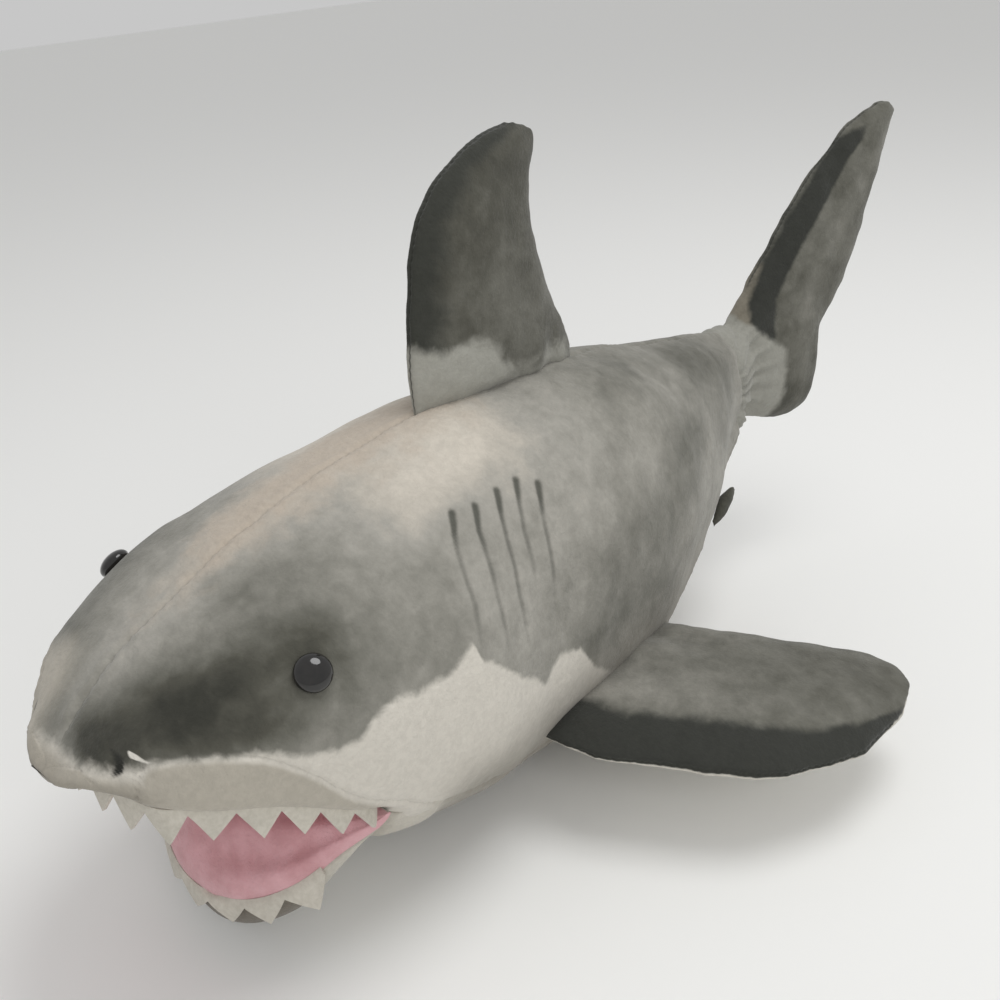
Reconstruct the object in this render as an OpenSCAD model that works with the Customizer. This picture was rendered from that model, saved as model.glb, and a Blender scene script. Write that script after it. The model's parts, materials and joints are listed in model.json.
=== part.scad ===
// A stuffed toy shark sewn from short-pile plush over loose polyester fibre.
// The head points to -Y, the tail to +Y and the back to +Z; the shark's left side is +X.
// Every sewn panel is a skin of its own, with the stuffing it holds as a separate solid.

/* [Body] */
// Length from the snout to the seam where the tail is sewn on
trunk_len = 490; // [400:1:600]
// Height of the back above the surface the belly rests on
body_h = 202; // [165:1:245]
// Width across the gills, the widest place
body_w = 175; // [145:1:210]
// Length over which the snout rounds off to its tip
nose_len = 43; // [30:1:55]

/* [Cloth] */
// Thickness of the plush, its pile and its backing together
skin = 2; // [1:0.1:3]
// Thickness of the felt that the teeth are cut from
felt = 1.8; // [1:0.1:3]
// Air left between two sewn pieces
gap = 0.3; // [0.2:0.05:0.6]

/* [Mouth] */
// Distance from the snout to the corners of the mouth
mouth_depth = 105; // [90:1:120]
// Height of the corners of the mouth, in percent of the body's height
mouth_at = 38.12; // [35:0.01:40.5]
// Height of the upper lip under the snout, in percent of the body's height
lip_at = 62.87; // [57.5:0.01:63.8]
// Distance from the fold of the mouth to the lower lip
jaw_len = 70; // [60:1:78]
// Width of the lower jaw at the corners of the mouth
jaw_w = 127; // [112:1:136]
// Slope of the lower lip below level, which is how far the mouth stands open
jaw_drop = 35; // [34:1:46]
// How far the stuffed floor of the mouth swells
jaw_swell = 12; // [3:1:14]

/* [Teeth] */
// Teeth on each side of the upper jaw
upper_teeth_per_side = 8; // [5:1:10]
// Length of an upper tooth below its strip
upper_tooth_len = 11.5; // [6:0.5:13]
// Teeth along the lower lip
lower_teeth_count = 7; // [5:1:9]
// Length of a lower tooth below its strip
lower_tooth_len = 10; // [6:0.5:12]
// Height of the felt strip that each row of teeth is cut on
strip_h = 3.5; // [2:0.5:5]

/* [Eyes] */
// Diameter of the domed plastic eye
eye_d = 15; // [10:0.5:20]
// Distance from the snout to the eye
eye_from_snout = 81; // [68:1:96]
// Angle of the eye round the head, from the top of the back
eye_angle = 57; // [45:1:68]
// Diameter of the ribbed shank behind the eye
shank_d = 5; // [4:0.5:6]
// Length of the shank
shank_len = 14; // [12:1:20]
// Outer diameter of the washer that locks on the shank
washer_d = 18; // [14:1:24]
// Thickness of the washer
washer_t = 2; // [1:0.5:3]

/* [Dorsal fin] */
// Distance from the snout to the front of the dorsal fin
dorsal_from_snout = 204; // [180:1:230]
// Length of the dorsal fin's base
dorsal_base = 117; // [95:1:140]
// Height of the dorsal fin above its base
dorsal_h = 117; // [95:1:140]
// Thickness of the dorsal fin
dorsal_t = 24; // [16:1:30]

/* [Pectoral fins] */
// Distance from the snout to the front of each pectoral fin
pectoral_from_snout = 203; // [180:1:230]
// Length of the pectoral fin's base
pectoral_base = 114; // [95:1:130]
// Reach of the pectoral fin from its base
pectoral_reach = 126; // [100:1:150]
// Height of the pectoral fin's base
pectoral_h = 50; // [42:1:60]
// Thickness of the pectoral fin
pectoral_t = 28; // [18:1:32]

/* [Pelvic fins] */
// Distance from the snout to the front of each pelvic fin
pelvic_from_snout = 404; // [385:1:415]
// Length of the pelvic fin's base
pelvic_base = 22; // [22:1:34]
// Reach of the pelvic fin from its base
pelvic_reach = 8; // [8:1:18]
// Thickness of the pelvic fin
pelvic_t = 8; // [6:1:10]

/* [Tail] */
// Reach of the tail fin behind the seam where it is sewn on
tail_reach = 121; // [100:1:145]
// Height of the tail fin above the middle of that seam
tail_h = 152; // [120:1:185]
// Angle that the tail lies bent to the shark's left
tail_bend = 20; // [0:1:30]
// Air between the tail's rounded root and the hollow it turns in
tail_gap = 1; // [0.8:0.1:1.5]

/* [Hidden] */
$fn = 48;

// How square the body's cross-sections are; 2 would be an ellipse
squareness = 2.2;
// Half of the angle left open along a seam between two body panels
seam_angle = 0.3;
// Smallest half-width that a ring or an edge may shrink to
least = 0.6;
// Extra air under a sewn-on fin, so that it can turn
hinge_air = 0.8;
// Air between a cover and the stuffing in it, which keeps their flat facets apart
core_air = 1;
// Smallest half-thickness of a stuffing
least_core = 0.4;

// The body from snout to tail, all in percent:
// [along, top, underside, half-width, height of the widest place]
body_rings = [
    [0, 68, 61, 46, 65.5],
    [4, 75.5, 51, 60, 65],
    [11, 83.5, 33, 80, 65.5],
    [19, 90.5, 20, 95, 64],
    [24, 94.5, 15, 99, 59],
    [31.5, 98, 9, 100, 55],
    [40.5, 100, 2, 92, 52],
    [52, 99.5, -1, 88.5, 50],
    [66, 96.5, 3, 78, 51.5],
    [79.5, 89, 16, 55, 56],
    [91, 84, 34, 29, 61],
    [100, 81, 51, 16, 66]
];

// Angle of the panels' lower seam round the body: [along percent, degrees from the back]
lower_seam = [
    [0, 62],
    [3, 57],
    [6, 61],
    [10, 77],
    [14, 96],
    [17, 107],
    [21, 115],
    [28, 124],
    [40, 128],
    [70, 126],
    [100, 118]
];

// Each fin from base to tip, in percent of its base and its height or reach:
// [along, front edge chord, front edge height, back edge chord, back edge height, swell]
dorsal_rows = [
    [0, 0, 0, 100, 0, 0],
    [7, 1, 8, 97, 6, 72],
    [18, 1, 20, 92, 16, 98],
    [36, 3, 47, 79, 40, 100],
    [56, 10, 71, 73, 64, 88],
    [76, 27, 88, 71, 81, 66],
    [91, 46, 97, 73, 91, 38],
    [100, 63, 100, 77, 97, 8]
];
pectoral_rows = [
    [0, 0, 0, 100, 0, 0],
    [8, 0, 8, 101, 7, 66],
    [20, 2, 20, 103, 18, 96],
    [40, 13, 42, 110, 40, 100],
    [60, 23, 63, 116, 60, 90],
    [75, 37, 80, 121, 74, 76],
    [88, 59, 93, 126, 84, 52],
    [96, 80, 99, 127, 90, 28],
    [100, 98, 100, 121, 96, 8]
];
pelvic_rows = [
    [0, 0, 0, 100, 0, 0],
    [25, 12, 25, 106, 25, 90],
    [65, 44, 72, 128, 66, 80],
    [100, 98, 100, 134, 94, 10]
];
// The tail's rows are in percent of its reach and of its height above the seam
tail_rows = [
    [0, 0, 18.5, 0, -19.5, 100],
    [12, 1, 28, 17, -26, 96],
    [24, 6, 36, 34, -29, 92],
    [36, 13, 44, 49, -24, 88],
    [48, 21, 53, 53, -9, 84],
    [58, 29, 61, 52, 6, 78],
    [68, 38, 71, 63, 18, 74],
    [78, 48, 80, 74, 39, 66],
    [88, 62, 89, 83, 57, 52],
    [95, 77, 97, 89, 76, 34],
    [100, 92, 100, 100, 95, 8]
];

// ---- curves -------------------------------------------------------------

// Number of the row of a table that a place along it falls in
function row_of(rows, p) = max([for (i = [0:len(rows) - 2]) if (i == 0 || rows[i][0] <= p) i]);

// Slope of one column of a table at a row
function row_slope(rows, i, col) =
    let (a = rows[max(i - 1, 0)], b = rows[min(i + 1, len(rows) - 1)])
    (b[col] - a[col]) / (b[0] - a[0]);

// Smooth curve through one column of a table
function smooth(rows, col, p) =
    let (
        i = row_of(rows, p),
        h = rows[i + 1][0] - rows[i][0],
        t = (p - rows[i][0]) / h,
        a = rows[i][col],
        b = rows[i + 1][col]
    )
    a * (1 + 2 * t) * (1 - t) ^ 2 + row_slope(rows, i, col) * h * t * (1 - t) ^ 2
    + b * t ^ 2 * (3 - 2 * t) + row_slope(rows, i + 1, col) * h * t ^ 2 * (t - 1);

// Evenly spaced values, both ends included
function steps(a, b, n) = [for (i = [0:n]) a + (b - a) * i / n];

// ---- solids from grids of points ----------------------------------------

// Two triangles for each cell of a grid of rows by cols points
function grid_faces(rows, cols, first, flip) = [
    for (i = [0:rows - 2], j = [0:cols - 2])
        let (a = first + i * cols + j, b = a + 1, c = a + cols, d = c + 1)
        each flip ? [[a, c, b], [b, c, d]] : [[a, b, c], [b, d, c]]
];

// A cloth panel: the solid between its outer and its inner grid of points; flip is for a
// grid whose rows and columns turn the other way as seen from outside
module panel(outer, inner, flip = false) {
    rows = len(outer);
    cols = len(outer[0]);
    n = rows * cols;
    edge = concat(
        [for (j = [0:cols - 1]) j],
        [for (i = [1:rows - 1]) i * cols + cols - 1],
        [for (j = [cols - 2:-1:0]) (rows - 1) * cols + j],
        [for (i = [rows - 2:-1:1]) i * cols]
    );
    rim = [
        for (k = [0:len(edge) - 1])
            let (a = edge[k], b = edge[(k + 1) % len(edge)])
            each flip ? [[a, b, a + n], [b, b + n, a + n]] : [[a, a + n, b], [b, a + n, b + n]]
    ];
    polyhedron(
        points = concat([for (r = outer) each r], [for (r = inner) each r]),
        faces = concat(grid_faces(rows, cols, 0, flip), grid_faces(rows, cols, n, !flip), rim)
    );
}

// A stuffed form: rings of points from one end to the other, closed at both ends
module stuffed(rings) {
    rows = len(rings);
    cols = len(rings[0]);
    sides = [
        for (i = [0:rows - 2], j = [0:cols - 1])
            let (a = i * cols + j, b = i * cols + (j + 1) % cols, c = a + cols, d = b + cols)
            each [[a, c, b], [b, c, d]]
    ];
    polyhedron(
        points = [for (r = rings) each r],
        faces = concat(
            [[for (j = [0:cols - 1]) j]],
            sides,
            [[for (j = [cols - 1:-1:0]) (rows - 1) * cols + j]]
        )
    );
}

// ---- the body's shape ---------------------------------------------------

// The tail fin ends as far behind the origin as the snout is ahead of it
snout_y = -(trunk_len + tail_reach * cos(tail_bend) + skin * sin(tail_bend)) / 2;
tail_y = snout_y + trunk_len;
mouth_y = snout_y + mouth_depth;
lip_y = snout_y + 12;

mouth_h = body_h * mouth_at / 100;
lip_h = body_h * lip_at / 100;

function along(y) = 100 * (y - snout_y) / trunk_len;
function ring_top(y) = body_h / 100 * smooth(body_rings, 1, along(y));
function ring_low(y) = body_h / 100 * smooth(body_rings, 2, along(y));
function ring_half(y) = body_w / 200 * smooth(body_rings, 3, along(y));
function ring_mid(y) = body_h / 100 * smooth(body_rings, 4, along(y));

// How much of its full size a ring has where the snout rounds off
function nose_share(y, depth) =
    let (u = (snout_y + nose_len - y) / (nose_len - depth))
    u <= 0 ? 1 : sqrt(max(1 - u ^ 2, 0));

// How soon the roof of the mouth levels off under the snout; 1 would be a straight slope
lip_rise = 1.6;

// Height of the roof of the mouth, which rises from its corners to the snout
function palate(y) =
    let (t = min(max((mouth_y - y) / (mouth_y - lip_y), 0), 1))
    mouth_h + (lip_h - mouth_h) * (1 - (1 - t) ^ lip_rise);

// A point of the body, at an angle from the back, at a depth under its surface
function body_point(y, angle, depth, bottom) =
    let (
        k = nose_share(y, depth),
        s = sin(angle),
        c = cos(angle),
        e = 2 / squareness,
        half = max(ring_half(y) * k - depth, least),
        up = max((ring_top(y) - ring_mid(y)) * k - depth, least),
        down = max((ring_mid(y) - ring_low(y)) * k - depth, least),
        z = ring_mid(y) + (c >= 0 ? up * c ^ e : -down * (-c) ^ e)
    )
    [sign(s) * half * abs(s) ^ e, y, max(z, bottom + depth)];

// Angle at which the body's side meets the roof of the mouth
function lip_angle(y, depth) =
    let (
        down = max((ring_mid(y) - ring_low(y)) * nose_share(y, depth) - depth, least),
        q = (ring_mid(y) - palate(y) - depth) / down
    )
    q >= 1 ? 180 : 180 - acos(max(q, 0) ^ (squareness / 2));

// Half-width of the roof of the mouth
function lip_half(y, depth) = body_point(y, lip_angle(y, depth), depth, palate(y))[0];

function seam_at(y) = smooth(lower_seam, 1, along(y));

// Places along the round of the snout, then down to the corners of the mouth
function nose_steps(depth) = [
    for (a = [10, 22, 36, 50, 64, 78, 90]) snout_y + depth + (nose_len - depth) * (1 - cos(a))
];
function head_steps(depth, back) = concat(
    nose_steps(depth),
    [for (i = [1:5]) snout_y + nose_len + (back - snout_y - nose_len) * i / 5]
);

// The hollow that the tail's rounded root turns in, at a distance from the middle plane
tail_half = ring_half(tail_y);
tail_mid = ring_mid(tail_y);
hollow_r = tail_half + tail_gap;
horn = 3;
function body_end(x) = tail_y - max(sqrt(max(hollow_r ^ 2 - x ^ 2, 0)), horn);

// The body's points between the corners of the mouth and the tail, ending at the hollow
bend_y = tail_y - 60;
function trunk_point(i, n, front, angle, depth) =
    let (
        share = i / n,
        main = 0.86,
        y = share <= main
            ? front + (bend_y - front) * share / main
            : bend_y + (tail_y - bend_y) * (share - main) / (1 - main),
        p = body_point(y, angle, depth, 0),
        end = body_end(p[0])
    )
    share <= main ? p : [p[0], bend_y + (end - bend_y) * (y - bend_y) / (tail_y - bend_y), p[2]];

trunk_rings = 22;

// ---- head and body pieces -----------------------------------------------

module body_stuffing() {
    d = skin + core_air;
    angles = [for (j = [0:39]) j * 9];
    head = [
        for (y = head_steps(d, mouth_y - least))
            [for (a = angles) body_point(y, a, d, palate(y))]
    ];
    trunk = [
        for (i = [0:trunk_rings])
            [for (a = angles) trunk_point(i, trunk_rings, mouth_y + gap, a, d)]
    ];
    closing = [
        for (k = [0.8, 0.6, 0.4, 0.2])
            [
                for (p = trunk[trunk_rings])
                    [p[0] * k, body_end(p[0] * k), tail_mid + (p[2] - tail_mid) * k]
            ]
    ];
    color("white")
        difference() {
            stuffed(concat(head, trunk, closing));
            for (side = [1, -1])
                at_eye(side)
                    translate([0, 0, -shank_len - gap])
                        cylinder(d = washer_d + 2 * gap, h = shank_len + 6 * skin);
        }
}

// The printed plush of one flank, from the seam along the back to the lower seam
module flank_cloth() {
    cols = 15;
    function angle(y, j) = seam_angle + (seam_at(y) - 2 * seam_angle) * j / cols;
    function rows(d) = concat(
        [
            for (y = head_steps(d, mouth_y - least))
                [for (j = [0:cols]) body_point(y, angle(y, j), d, palate(y))]
        ],
        [
            for (i = [0:trunk_rings])
                let (y = mouth_y + gap + (tail_y - mouth_y - gap) * i / trunk_rings)
                [for (j = [0:cols]) trunk_point(i, trunk_rings, mouth_y + gap, angle(y, j), d)]
        ]
    );
    difference() {
        panel(rows(0), rows(skin), true);
        at_eye(1)
            translate([0, 0, -shank_len])
                cylinder(d = shank_d + 2 * gap, h = 2 * shank_len);
    }
}

module flank_panel_left() {
    color("#8f908a")
        flank_cloth();
}

module flank_panel_right() {
    color("#8f908a")
        mirror([1, 0, 0])
            flank_cloth();
}

module belly_panel() {
    cols = 14;
    function rows(d) = [
        for (i = [0:trunk_rings])
            let (
                y = mouth_y + gap + (tail_y - mouth_y - gap) * i / trunk_rings,
                low = seam_at(y) + seam_angle
            )
            [
                for (j = [0:cols])
                    trunk_point(i, trunk_rings, mouth_y + gap, low + (360 - 2 * low) * j / cols, d)
            ]
    ];
    color("#c4c0b6")
        panel(rows(0), rows(skin), true);
}

// The crescent of plush between the lower seam of the head and the roof of the mouth, which
// runs out to a point a little short of the corner
lip_end = 6;
module lip_cloth() {
    cols = 5;
    function rows(d) = [
        for (y = head_steps(d, mouth_y - lip_end))
            let (top = seam_at(y) + seam_angle, low = lip_angle(y, d) - seam_angle)
            [for (j = [0:cols]) body_point(y, top + (low - top) * j / cols, d, palate(y) - d)]
    ];
    panel(rows(0), rows(skin), true);
}

module upper_lip_left() {
    color("#a7a398")
        lip_cloth();
}

module upper_lip_right() {
    color("#a7a398")
        mirror([1, 0, 0])
            lip_cloth();
}

module palate_lining() {
    d = skin + gap;
    function rows(lift) = [
        for (y = steps(lip_y + d + 1, mouth_y - least, 12))
            [for (x = steps(-1, 1, 10)) [x * max(lip_half(y, d) - 1, 1), y, palate(y) + lift]]
    ];
    color("#a1797a")
        panel(rows(skin), rows(0), true);
}

// Plan of the upper teeth: a rounded arch just inside the lip, from corner to corner
arch_half = lip_half(mouth_y - 6, 0) - 1.5;
arch_reach = mouth_y - lip_y + 3.5;
arch_squareness = 2.6;

module upper_teeth() {
    points = 4 * upper_teeth_per_side;
    function at(k, inward, drop) =
        let (
            a = -87 + 174 * k / points,
            e = 2 / arch_squareness,
            y = mouth_y - 4 - (arch_reach - 4 - inward) * cos(a) ^ e
        )
        [sign(a) * (arch_half - inward) * abs(sin(a)) ^ e, y, palate(y) - gap - drop];
    function rows(inward) = [
        [for (k = [0:points]) at(k, inward, 0)],
        [for (k = [0:points]) at(k, inward, strip_h + (k % 2) * upper_tooth_len)]
    ];
    color("#c0baae")
        panel(rows(0), rows(felt));
}

// ---- eyes ---------------------------------------------------------------

// The eye's place on the head, and the direction it looks in
eye_y = snout_y + eye_from_snout;
eye_spot = body_point(eye_y, eye_angle, 0, 0);
eye_slope = body_point(eye_y + 2, eye_angle, 0, 0) - eye_spot;
eye_round = body_point(eye_y, eye_angle + 2, 0, 0) - eye_spot;
eye_out = cross(eye_slope, eye_round);
eye_look = eye_out * sign(eye_out[0]) / norm(eye_out);

module at_eye(side) {
    mirror([side < 0 ? 1 : 0, 0, 0])
        translate(eye_spot)
            rotate([0, acos(eye_look[2]), atan2(eye_look[1], eye_look[0])])
                children();
}

// A domed bead over a rim, on a shank that goes through the plush
module eye_bead() {
    r = eye_d / 2;
    dome_h = r * 0.78;
    chamfer = 0.6;
    rim_h = 1.4;
    rise = gap + chamfer;
    translate([0, 0, rise])
        rotate_extrude()
            polygon(concat(
                [[0, 0], [r - chamfer, 0], [r, chamfer], [r, rim_h]],
                [for (a = [10:10:80]) [r * cos(a), rim_h + (dome_h - rim_h) * sin(a)]],
                [[0, dome_h]]
            ));
    translate([0, 0, -shank_len])
        cylinder(d = shank_d, h = shank_len + rise + gap);
}

// The ring pushed on the shank from inside, tight against the plush
module eye_lock() {
    translate([0, 0, -2 * skin - washer_t])
        difference() {
            cylinder(d = washer_d, h = washer_t);
            translate([0, 0, -1])
                cylinder(d = shank_d + 0.2, h = washer_t + 2);
        }
}

module eye_left() {
    color("#1c1b1a")
        at_eye(1)
            eye_bead();
}

module eye_right() {
    color("#1c1b1a")
        at_eye(-1)
            eye_bead();
}

module eye_washer_left() {
    color("#e8e6df")
        at_eye(1)
            eye_lock();
}

module eye_washer_right() {
    color("#e8e6df")
        at_eye(-1)
            eye_lock();
}

// ---- lower jaw ----------------------------------------------------------

// The jaw turns about a line through the corners of the mouth, just under its roof
hinge_y = mouth_y - gap;
hinge_z = mouth_h - 2;
jaw_back = 85;
// How much the jaw narrows for each degree under its lip
chin_taper = 0.22;

// Outline of the jaw from the lip round the chin to the throat:
// [percent of the turn, reach from the turning line in percent of the jaw's length]
jaw_rows = [
    [0, 100],
    [12, 108],
    [30, 113],
    [52, 104],
    [78, 81],
    [100, 64]
];

// Height of the underside of the jaw over the floor
jaw_clear = 5;
// Shares of the jaw's half-width taken up by its stuffing, and of its floor from the fold out
core_half = 0.9;
core_from = 0.08;
core_to = 0.9;
// How fast the stuffing deepens from the lip to the fold
core_fall = 1.25;
// Radius of the fold of the mouth's floor, and the least reach of its rows at the corners
fold_r = 4;
least_reach = 8;

// Reach of the jaw from its turning line, at an angle below level
function jaw_reach(angle) =
    min(
        jaw_len * smooth(jaw_rows, 1, 100 * (angle - jaw_drop) / (jaw_back - jaw_drop)) / 100,
        (hinge_z - jaw_clear) / sin(angle)
    );

// A point of the jaw: across by a share of its half-width, at an angle and a depth
function jaw_point(share, angle, depth) =
    let (
        half = jaw_w / 2 - depth - chin_taper * (angle - jaw_drop),
        r = max((jaw_reach(angle) - depth) * sqrt(max(1 - share ^ 2, 0)), 2)
    )
    [half * share, hinge_y - r * cos(angle), hinge_z - r * sin(angle)];

// A point of the mouth's floor: across, out from the fold, and above the lip plane
function floor_point(share, out, lift) =
    let (
        half = jaw_w / 2 - skin - gap,
        lip_r = (jaw_len - skin - gap - 1) * sqrt(max(1 - share ^ 2, 0)),
        r = fold_r + (max(lip_r, least_reach) - fold_r) * out,
        n = lift + jaw_swell * (1 - share ^ 2) * sin(180 * out)
    )
    [
        half * share,
        hinge_y - r * cos(jaw_drop) - n * sin(jaw_drop),
        hinge_z - r * sin(jaw_drop) + n * cos(jaw_drop)
    ];

jaw_shares = [for (j = [-8:8]) sin(j * 9.9)];
core_shares = [for (j = [-7:7]) sin(j * 10.4)];

module chin_panel() {
    function rows(d) = [
        for (a = steps(jaw_drop, jaw_back, 10)) [for (s = jaw_shares) jaw_point(s, a, d)]
    ];
    color("#9a958a")
        panel(rows(0), rows(skin));
}

module jaw_lining() {
    function rows(lift) = [
        for (out = steps(0, 1, 7)) [for (s = core_shares) floor_point(s, out, lift)]
    ];
    color("#a1797a")
        panel(rows(skin + gap), rows(gap));
}

// A point of the underside of the jaw's stuffing, under a point of the mouth's floor
function core_point(share, out) =
    let (
        p = floor_point(share, out, 0),
        a = jaw_drop + (jaw_back - jaw_drop - 3) * min(1, core_fall * (1 - out)),
        q = jaw_point(share, a, skin + 3 * core_air),
        r = min(norm([p[1] - hinge_y, p[2] - hinge_z]), norm([q[1] - hinge_y, q[2] - hinge_z]))
    )
    [q[0], hinge_y - r * cos(a), hinge_z - r * sin(a)];

module jaw_stuffing() {
    outs = steps(core_from, core_to, 6);
    top = [for (out = outs) [for (s = core_shares) floor_point(s * core_half, out, 0)]];
    low = [for (out = outs) [for (s = core_shares) core_point(s * core_half, out)]];
    color("white")
        panel(top, low);
}

module lower_teeth() {
    points = 2 * lower_teeth_count;
    reach = 62;
    function at(k, outward, share) =
        let (
            s = sin(reach * (2 * k / points - 1)),
            drop = share * (strip_h + (k % 2) * lower_tooth_len),
            a = jaw_drop - 1 + drop * 180 / (PI * jaw_len),
            r = (jaw_reach(max(a, jaw_drop + 4)) + 2 * gap + outward) * sqrt(1 - s ^ 2) + 3 * gap
        )
        [(jaw_w / 2 + gap) * s, hinge_y - r * cos(a) - gap, hinge_z - r * sin(a)];
    function rows(outward) = [
        for (share = steps(0, 1, 3)) [for (k = [0:points]) at(k, outward, share)]
    ];
    color("#c0baae")
        panel(rows(felt), rows(0));
}

// ---- fins ---------------------------------------------------------------

// A point of a fin: chord, height and how far off its middle plane
function fin_point(rows, chord, height, swell, p, t, off, spread) =
    let (
        front = [smooth(rows, 1, p), smooth(rows, 2, p)],
        back = [smooth(rows, 3, p), smooth(rows, 4, p)],
        at = front + (back - front) * t,
        puff = swell * smooth(rows, 5, p) / 100 * (4 * t * (1 - t)) ^ spread
    )
    [at[0] * chord / 100, at[1] * height / 100, off + max(puff, 0)];

// One side of a fin in its own frame: X along the chord, Y up the fin, Z off its middle
module fin_cloth(rows, chord, height, thick, n) {
    swell = thick / 2 - skin - gap / 2;
    function side(off) = [
        for (p = steps(0, 100, n))
            [for (t = steps(0, 1, 10)) fin_point(rows, chord, height, swell, p, t, off, 0.6)]
    ];
    panel(side(gap / 2 + skin), side(gap / 2), true);
}

module fin_core(rows, chord, height, thick, n) {
    swell = thick / 2 - skin - gap / 2;
    function side(sign_z) = [
        for (p = steps(6, 95, n))
            [
                for (t = steps(0.07, 0.93, 8))
                    let (q = fin_point(rows, chord, height, swell, p, t, 0, 0.6))
                    [q[0], q[1], sign_z * max(q[2] - core_air, least_core)]
            ]
    ];
    panel(side(1), side(-1), true);
}

// The dorsal fin's base is a straight seam just clear of the back
dorsal_y = snout_y + dorsal_from_snout;
dorsal_front = ring_top(dorsal_y);
dorsal_back = ring_top(dorsal_y + dorsal_base);
dorsal_lift = max([
    for (t = steps(0, 1, 12))
        ring_top(dorsal_y + t * dorsal_base) - dorsal_front - t * (dorsal_back - dorsal_front)
]) + skin + gap + hinge_air;

module at_dorsal() {
    translate([0, dorsal_y, dorsal_front + dorsal_lift])
        rotate([atan2(dorsal_back - dorsal_front, dorsal_base), 0, 0])
            rotate([90, 0, 90])
                children();
}

module dorsal_panel_left() {
    color("#4a4b46")
        at_dorsal()
            fin_cloth(dorsal_rows, dorsal_base, dorsal_h, dorsal_t, 12);
}

module dorsal_panel_right() {
    color("#4a4b46")
        mirror([1, 0, 0])
            at_dorsal()
                fin_cloth(dorsal_rows, dorsal_base, dorsal_h, dorsal_t, 12);
}

module dorsal_stuffing() {
    color("white")
        at_dorsal()
            fin_core(dorsal_rows, dorsal_base, dorsal_h, dorsal_t, 9);
}

// Half-width of the body at a height, below its widest place
function flank_x(y, z) =
    let (q = (ring_mid(y) - z) / (ring_mid(y) - ring_low(y)))
    ring_half(y) * (1 - abs(q) ^ squareness) ^ (1 / squareness);

// A side fin's base is a straight seam just clear of the flank
function fin_base(y, length, z) =
    let (
        front = flank_x(y, z),
        back = flank_x(y + length, z),
        bulge = max([
            for (t = steps(0, 1, 12), up = [-1, 0, 1])
                flank_x(y + t * length, z + up * (skin + gap)) - front - t * (back - front)
        ])
    )
    [front + bulge + skin + gap + hinge_air, atan2(back - front, length)];

pectoral_y = snout_y + pectoral_from_snout;
pectoral_seat = fin_base(pectoral_y, pectoral_base, pectoral_h);

module at_pectoral(under) {
    translate([pectoral_seat[0], pectoral_y, pectoral_h])
        rotate([0, 0, -pectoral_seat[1]])
            mirror([0, 0, under])
                multmatrix([[0, 1, 0, 0], [1, 0, 0, 0], [0, 0, -1, 0], [0, 0, 0, 1]])
                    mirror([0, 0, 1])
                        children();
}

module pectoral_cloth(under) {
    at_pectoral(under)
        fin_cloth(pectoral_rows, pectoral_base, pectoral_reach, pectoral_t, 13);
}

module pectoral_core() {
    at_pectoral(0)
        fin_core(pectoral_rows, pectoral_base, pectoral_reach, pectoral_t, 9);
}

module pectoral_top_left() {
    color("#74756f")
        pectoral_cloth(0);
}

module pectoral_under_left() {
    color("#c4c0b6")
        pectoral_cloth(1);
}

module pectoral_stuffing_left() {
    color("white")
        pectoral_core();
}

module pectoral_top_right() {
    color("#74756f")
        mirror([1, 0, 0])
            pectoral_cloth(0);
}

module pectoral_under_right() {
    color("#c4c0b6")
        mirror([1, 0, 0])
            pectoral_cloth(1);
}

module pectoral_stuffing_right() {
    color("white")
        mirror([1, 0, 0])
            pectoral_core();
}

// The pelvic fins are sewn just under the lower seam, and slope down and out
pelvic_turn = 6;
pelvic_slope = 100;
pelvic_y = snout_y + pelvic_from_snout;
pelvic_front = body_point(pelvic_y, seam_at(pelvic_y) + pelvic_turn, -skin - gap, 0);
pelvic_rear_y = pelvic_y + pelvic_base;
pelvic_rear = body_point(pelvic_rear_y, seam_at(pelvic_rear_y) + pelvic_turn, -skin - gap, 0);
pelvic_chord = (pelvic_rear - pelvic_front) / norm(pelvic_rear - pelvic_front);
pelvic_side = cross(pelvic_chord, [sin(pelvic_slope), 0, -cos(pelvic_slope)]);
pelvic_normal = pelvic_side / norm(pelvic_side);
pelvic_out = cross(pelvic_normal, pelvic_chord);

module pelvic_cloth(under) {
    swell = pelvic_t / 2 - skin - gap / 2;
    function side(off) = [
        for (p = steps(0, 100, 5))
            [
                for (t = steps(0, 1, 5))
                    fin_point(pelvic_rows, pelvic_base, pelvic_reach, swell, p, t, off, 0.6)
            ]
    ];
    multmatrix([for (k = [0:2]) [pelvic_chord[k], pelvic_out[k], pelvic_normal[k], pelvic_front[k]]])
        mirror([0, 0, under])
            panel(side(gap / 2 + skin), side(gap / 2), true);
}

module pelvic_top_left() {
    color("#74756f")
        pelvic_cloth(0);
}

module pelvic_under_left() {
    color("#c4c0b6")
        pelvic_cloth(1);
}

module pelvic_top_right() {
    color("#74756f")
        mirror([1, 0, 0])
            pelvic_cloth(0);
}

module pelvic_under_right() {
    color("#c4c0b6")
        mirror([1, 0, 0])
            pelvic_cloth(1);
}

// ---- tail ---------------------------------------------------------------

module at_tail() {
    translate([0, tail_y, tail_mid])
        rotate([0, 0, -tail_bend])
            rotate([90, 0, 90])
                children();
}

// A point of the tail, with its root drawn out to a cylinder about the tail's upright axis
function tail_point(p, t, depth) =
    let (
        q = fin_point(tail_rows, tail_reach, tail_h, tail_half - skin, p, t, skin - depth, 0.5),
        fade = max(1 - p / 20, 0),
        root = sqrt(max((tail_half - depth) ^ 2 - q[2] ^ 2, 0))
    )
    [q[0] - fade * root, q[1], q[2]];

module tail_cloth() {
    function side(depth) = [
        for (p = steps(0, 100, 20)) [for (t = steps(0, 1, 10)) tail_point(p, t, depth)]
    ];
    panel(side(0), side(skin - gap / 2), true);
}

module tail_panel_left() {
    color("#55574f")
        at_tail()
            tail_cloth();
}

module tail_panel_right() {
    color("#55574f")
        at_tail()
            mirror([0, 0, 1])
                tail_cloth();
}

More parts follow.
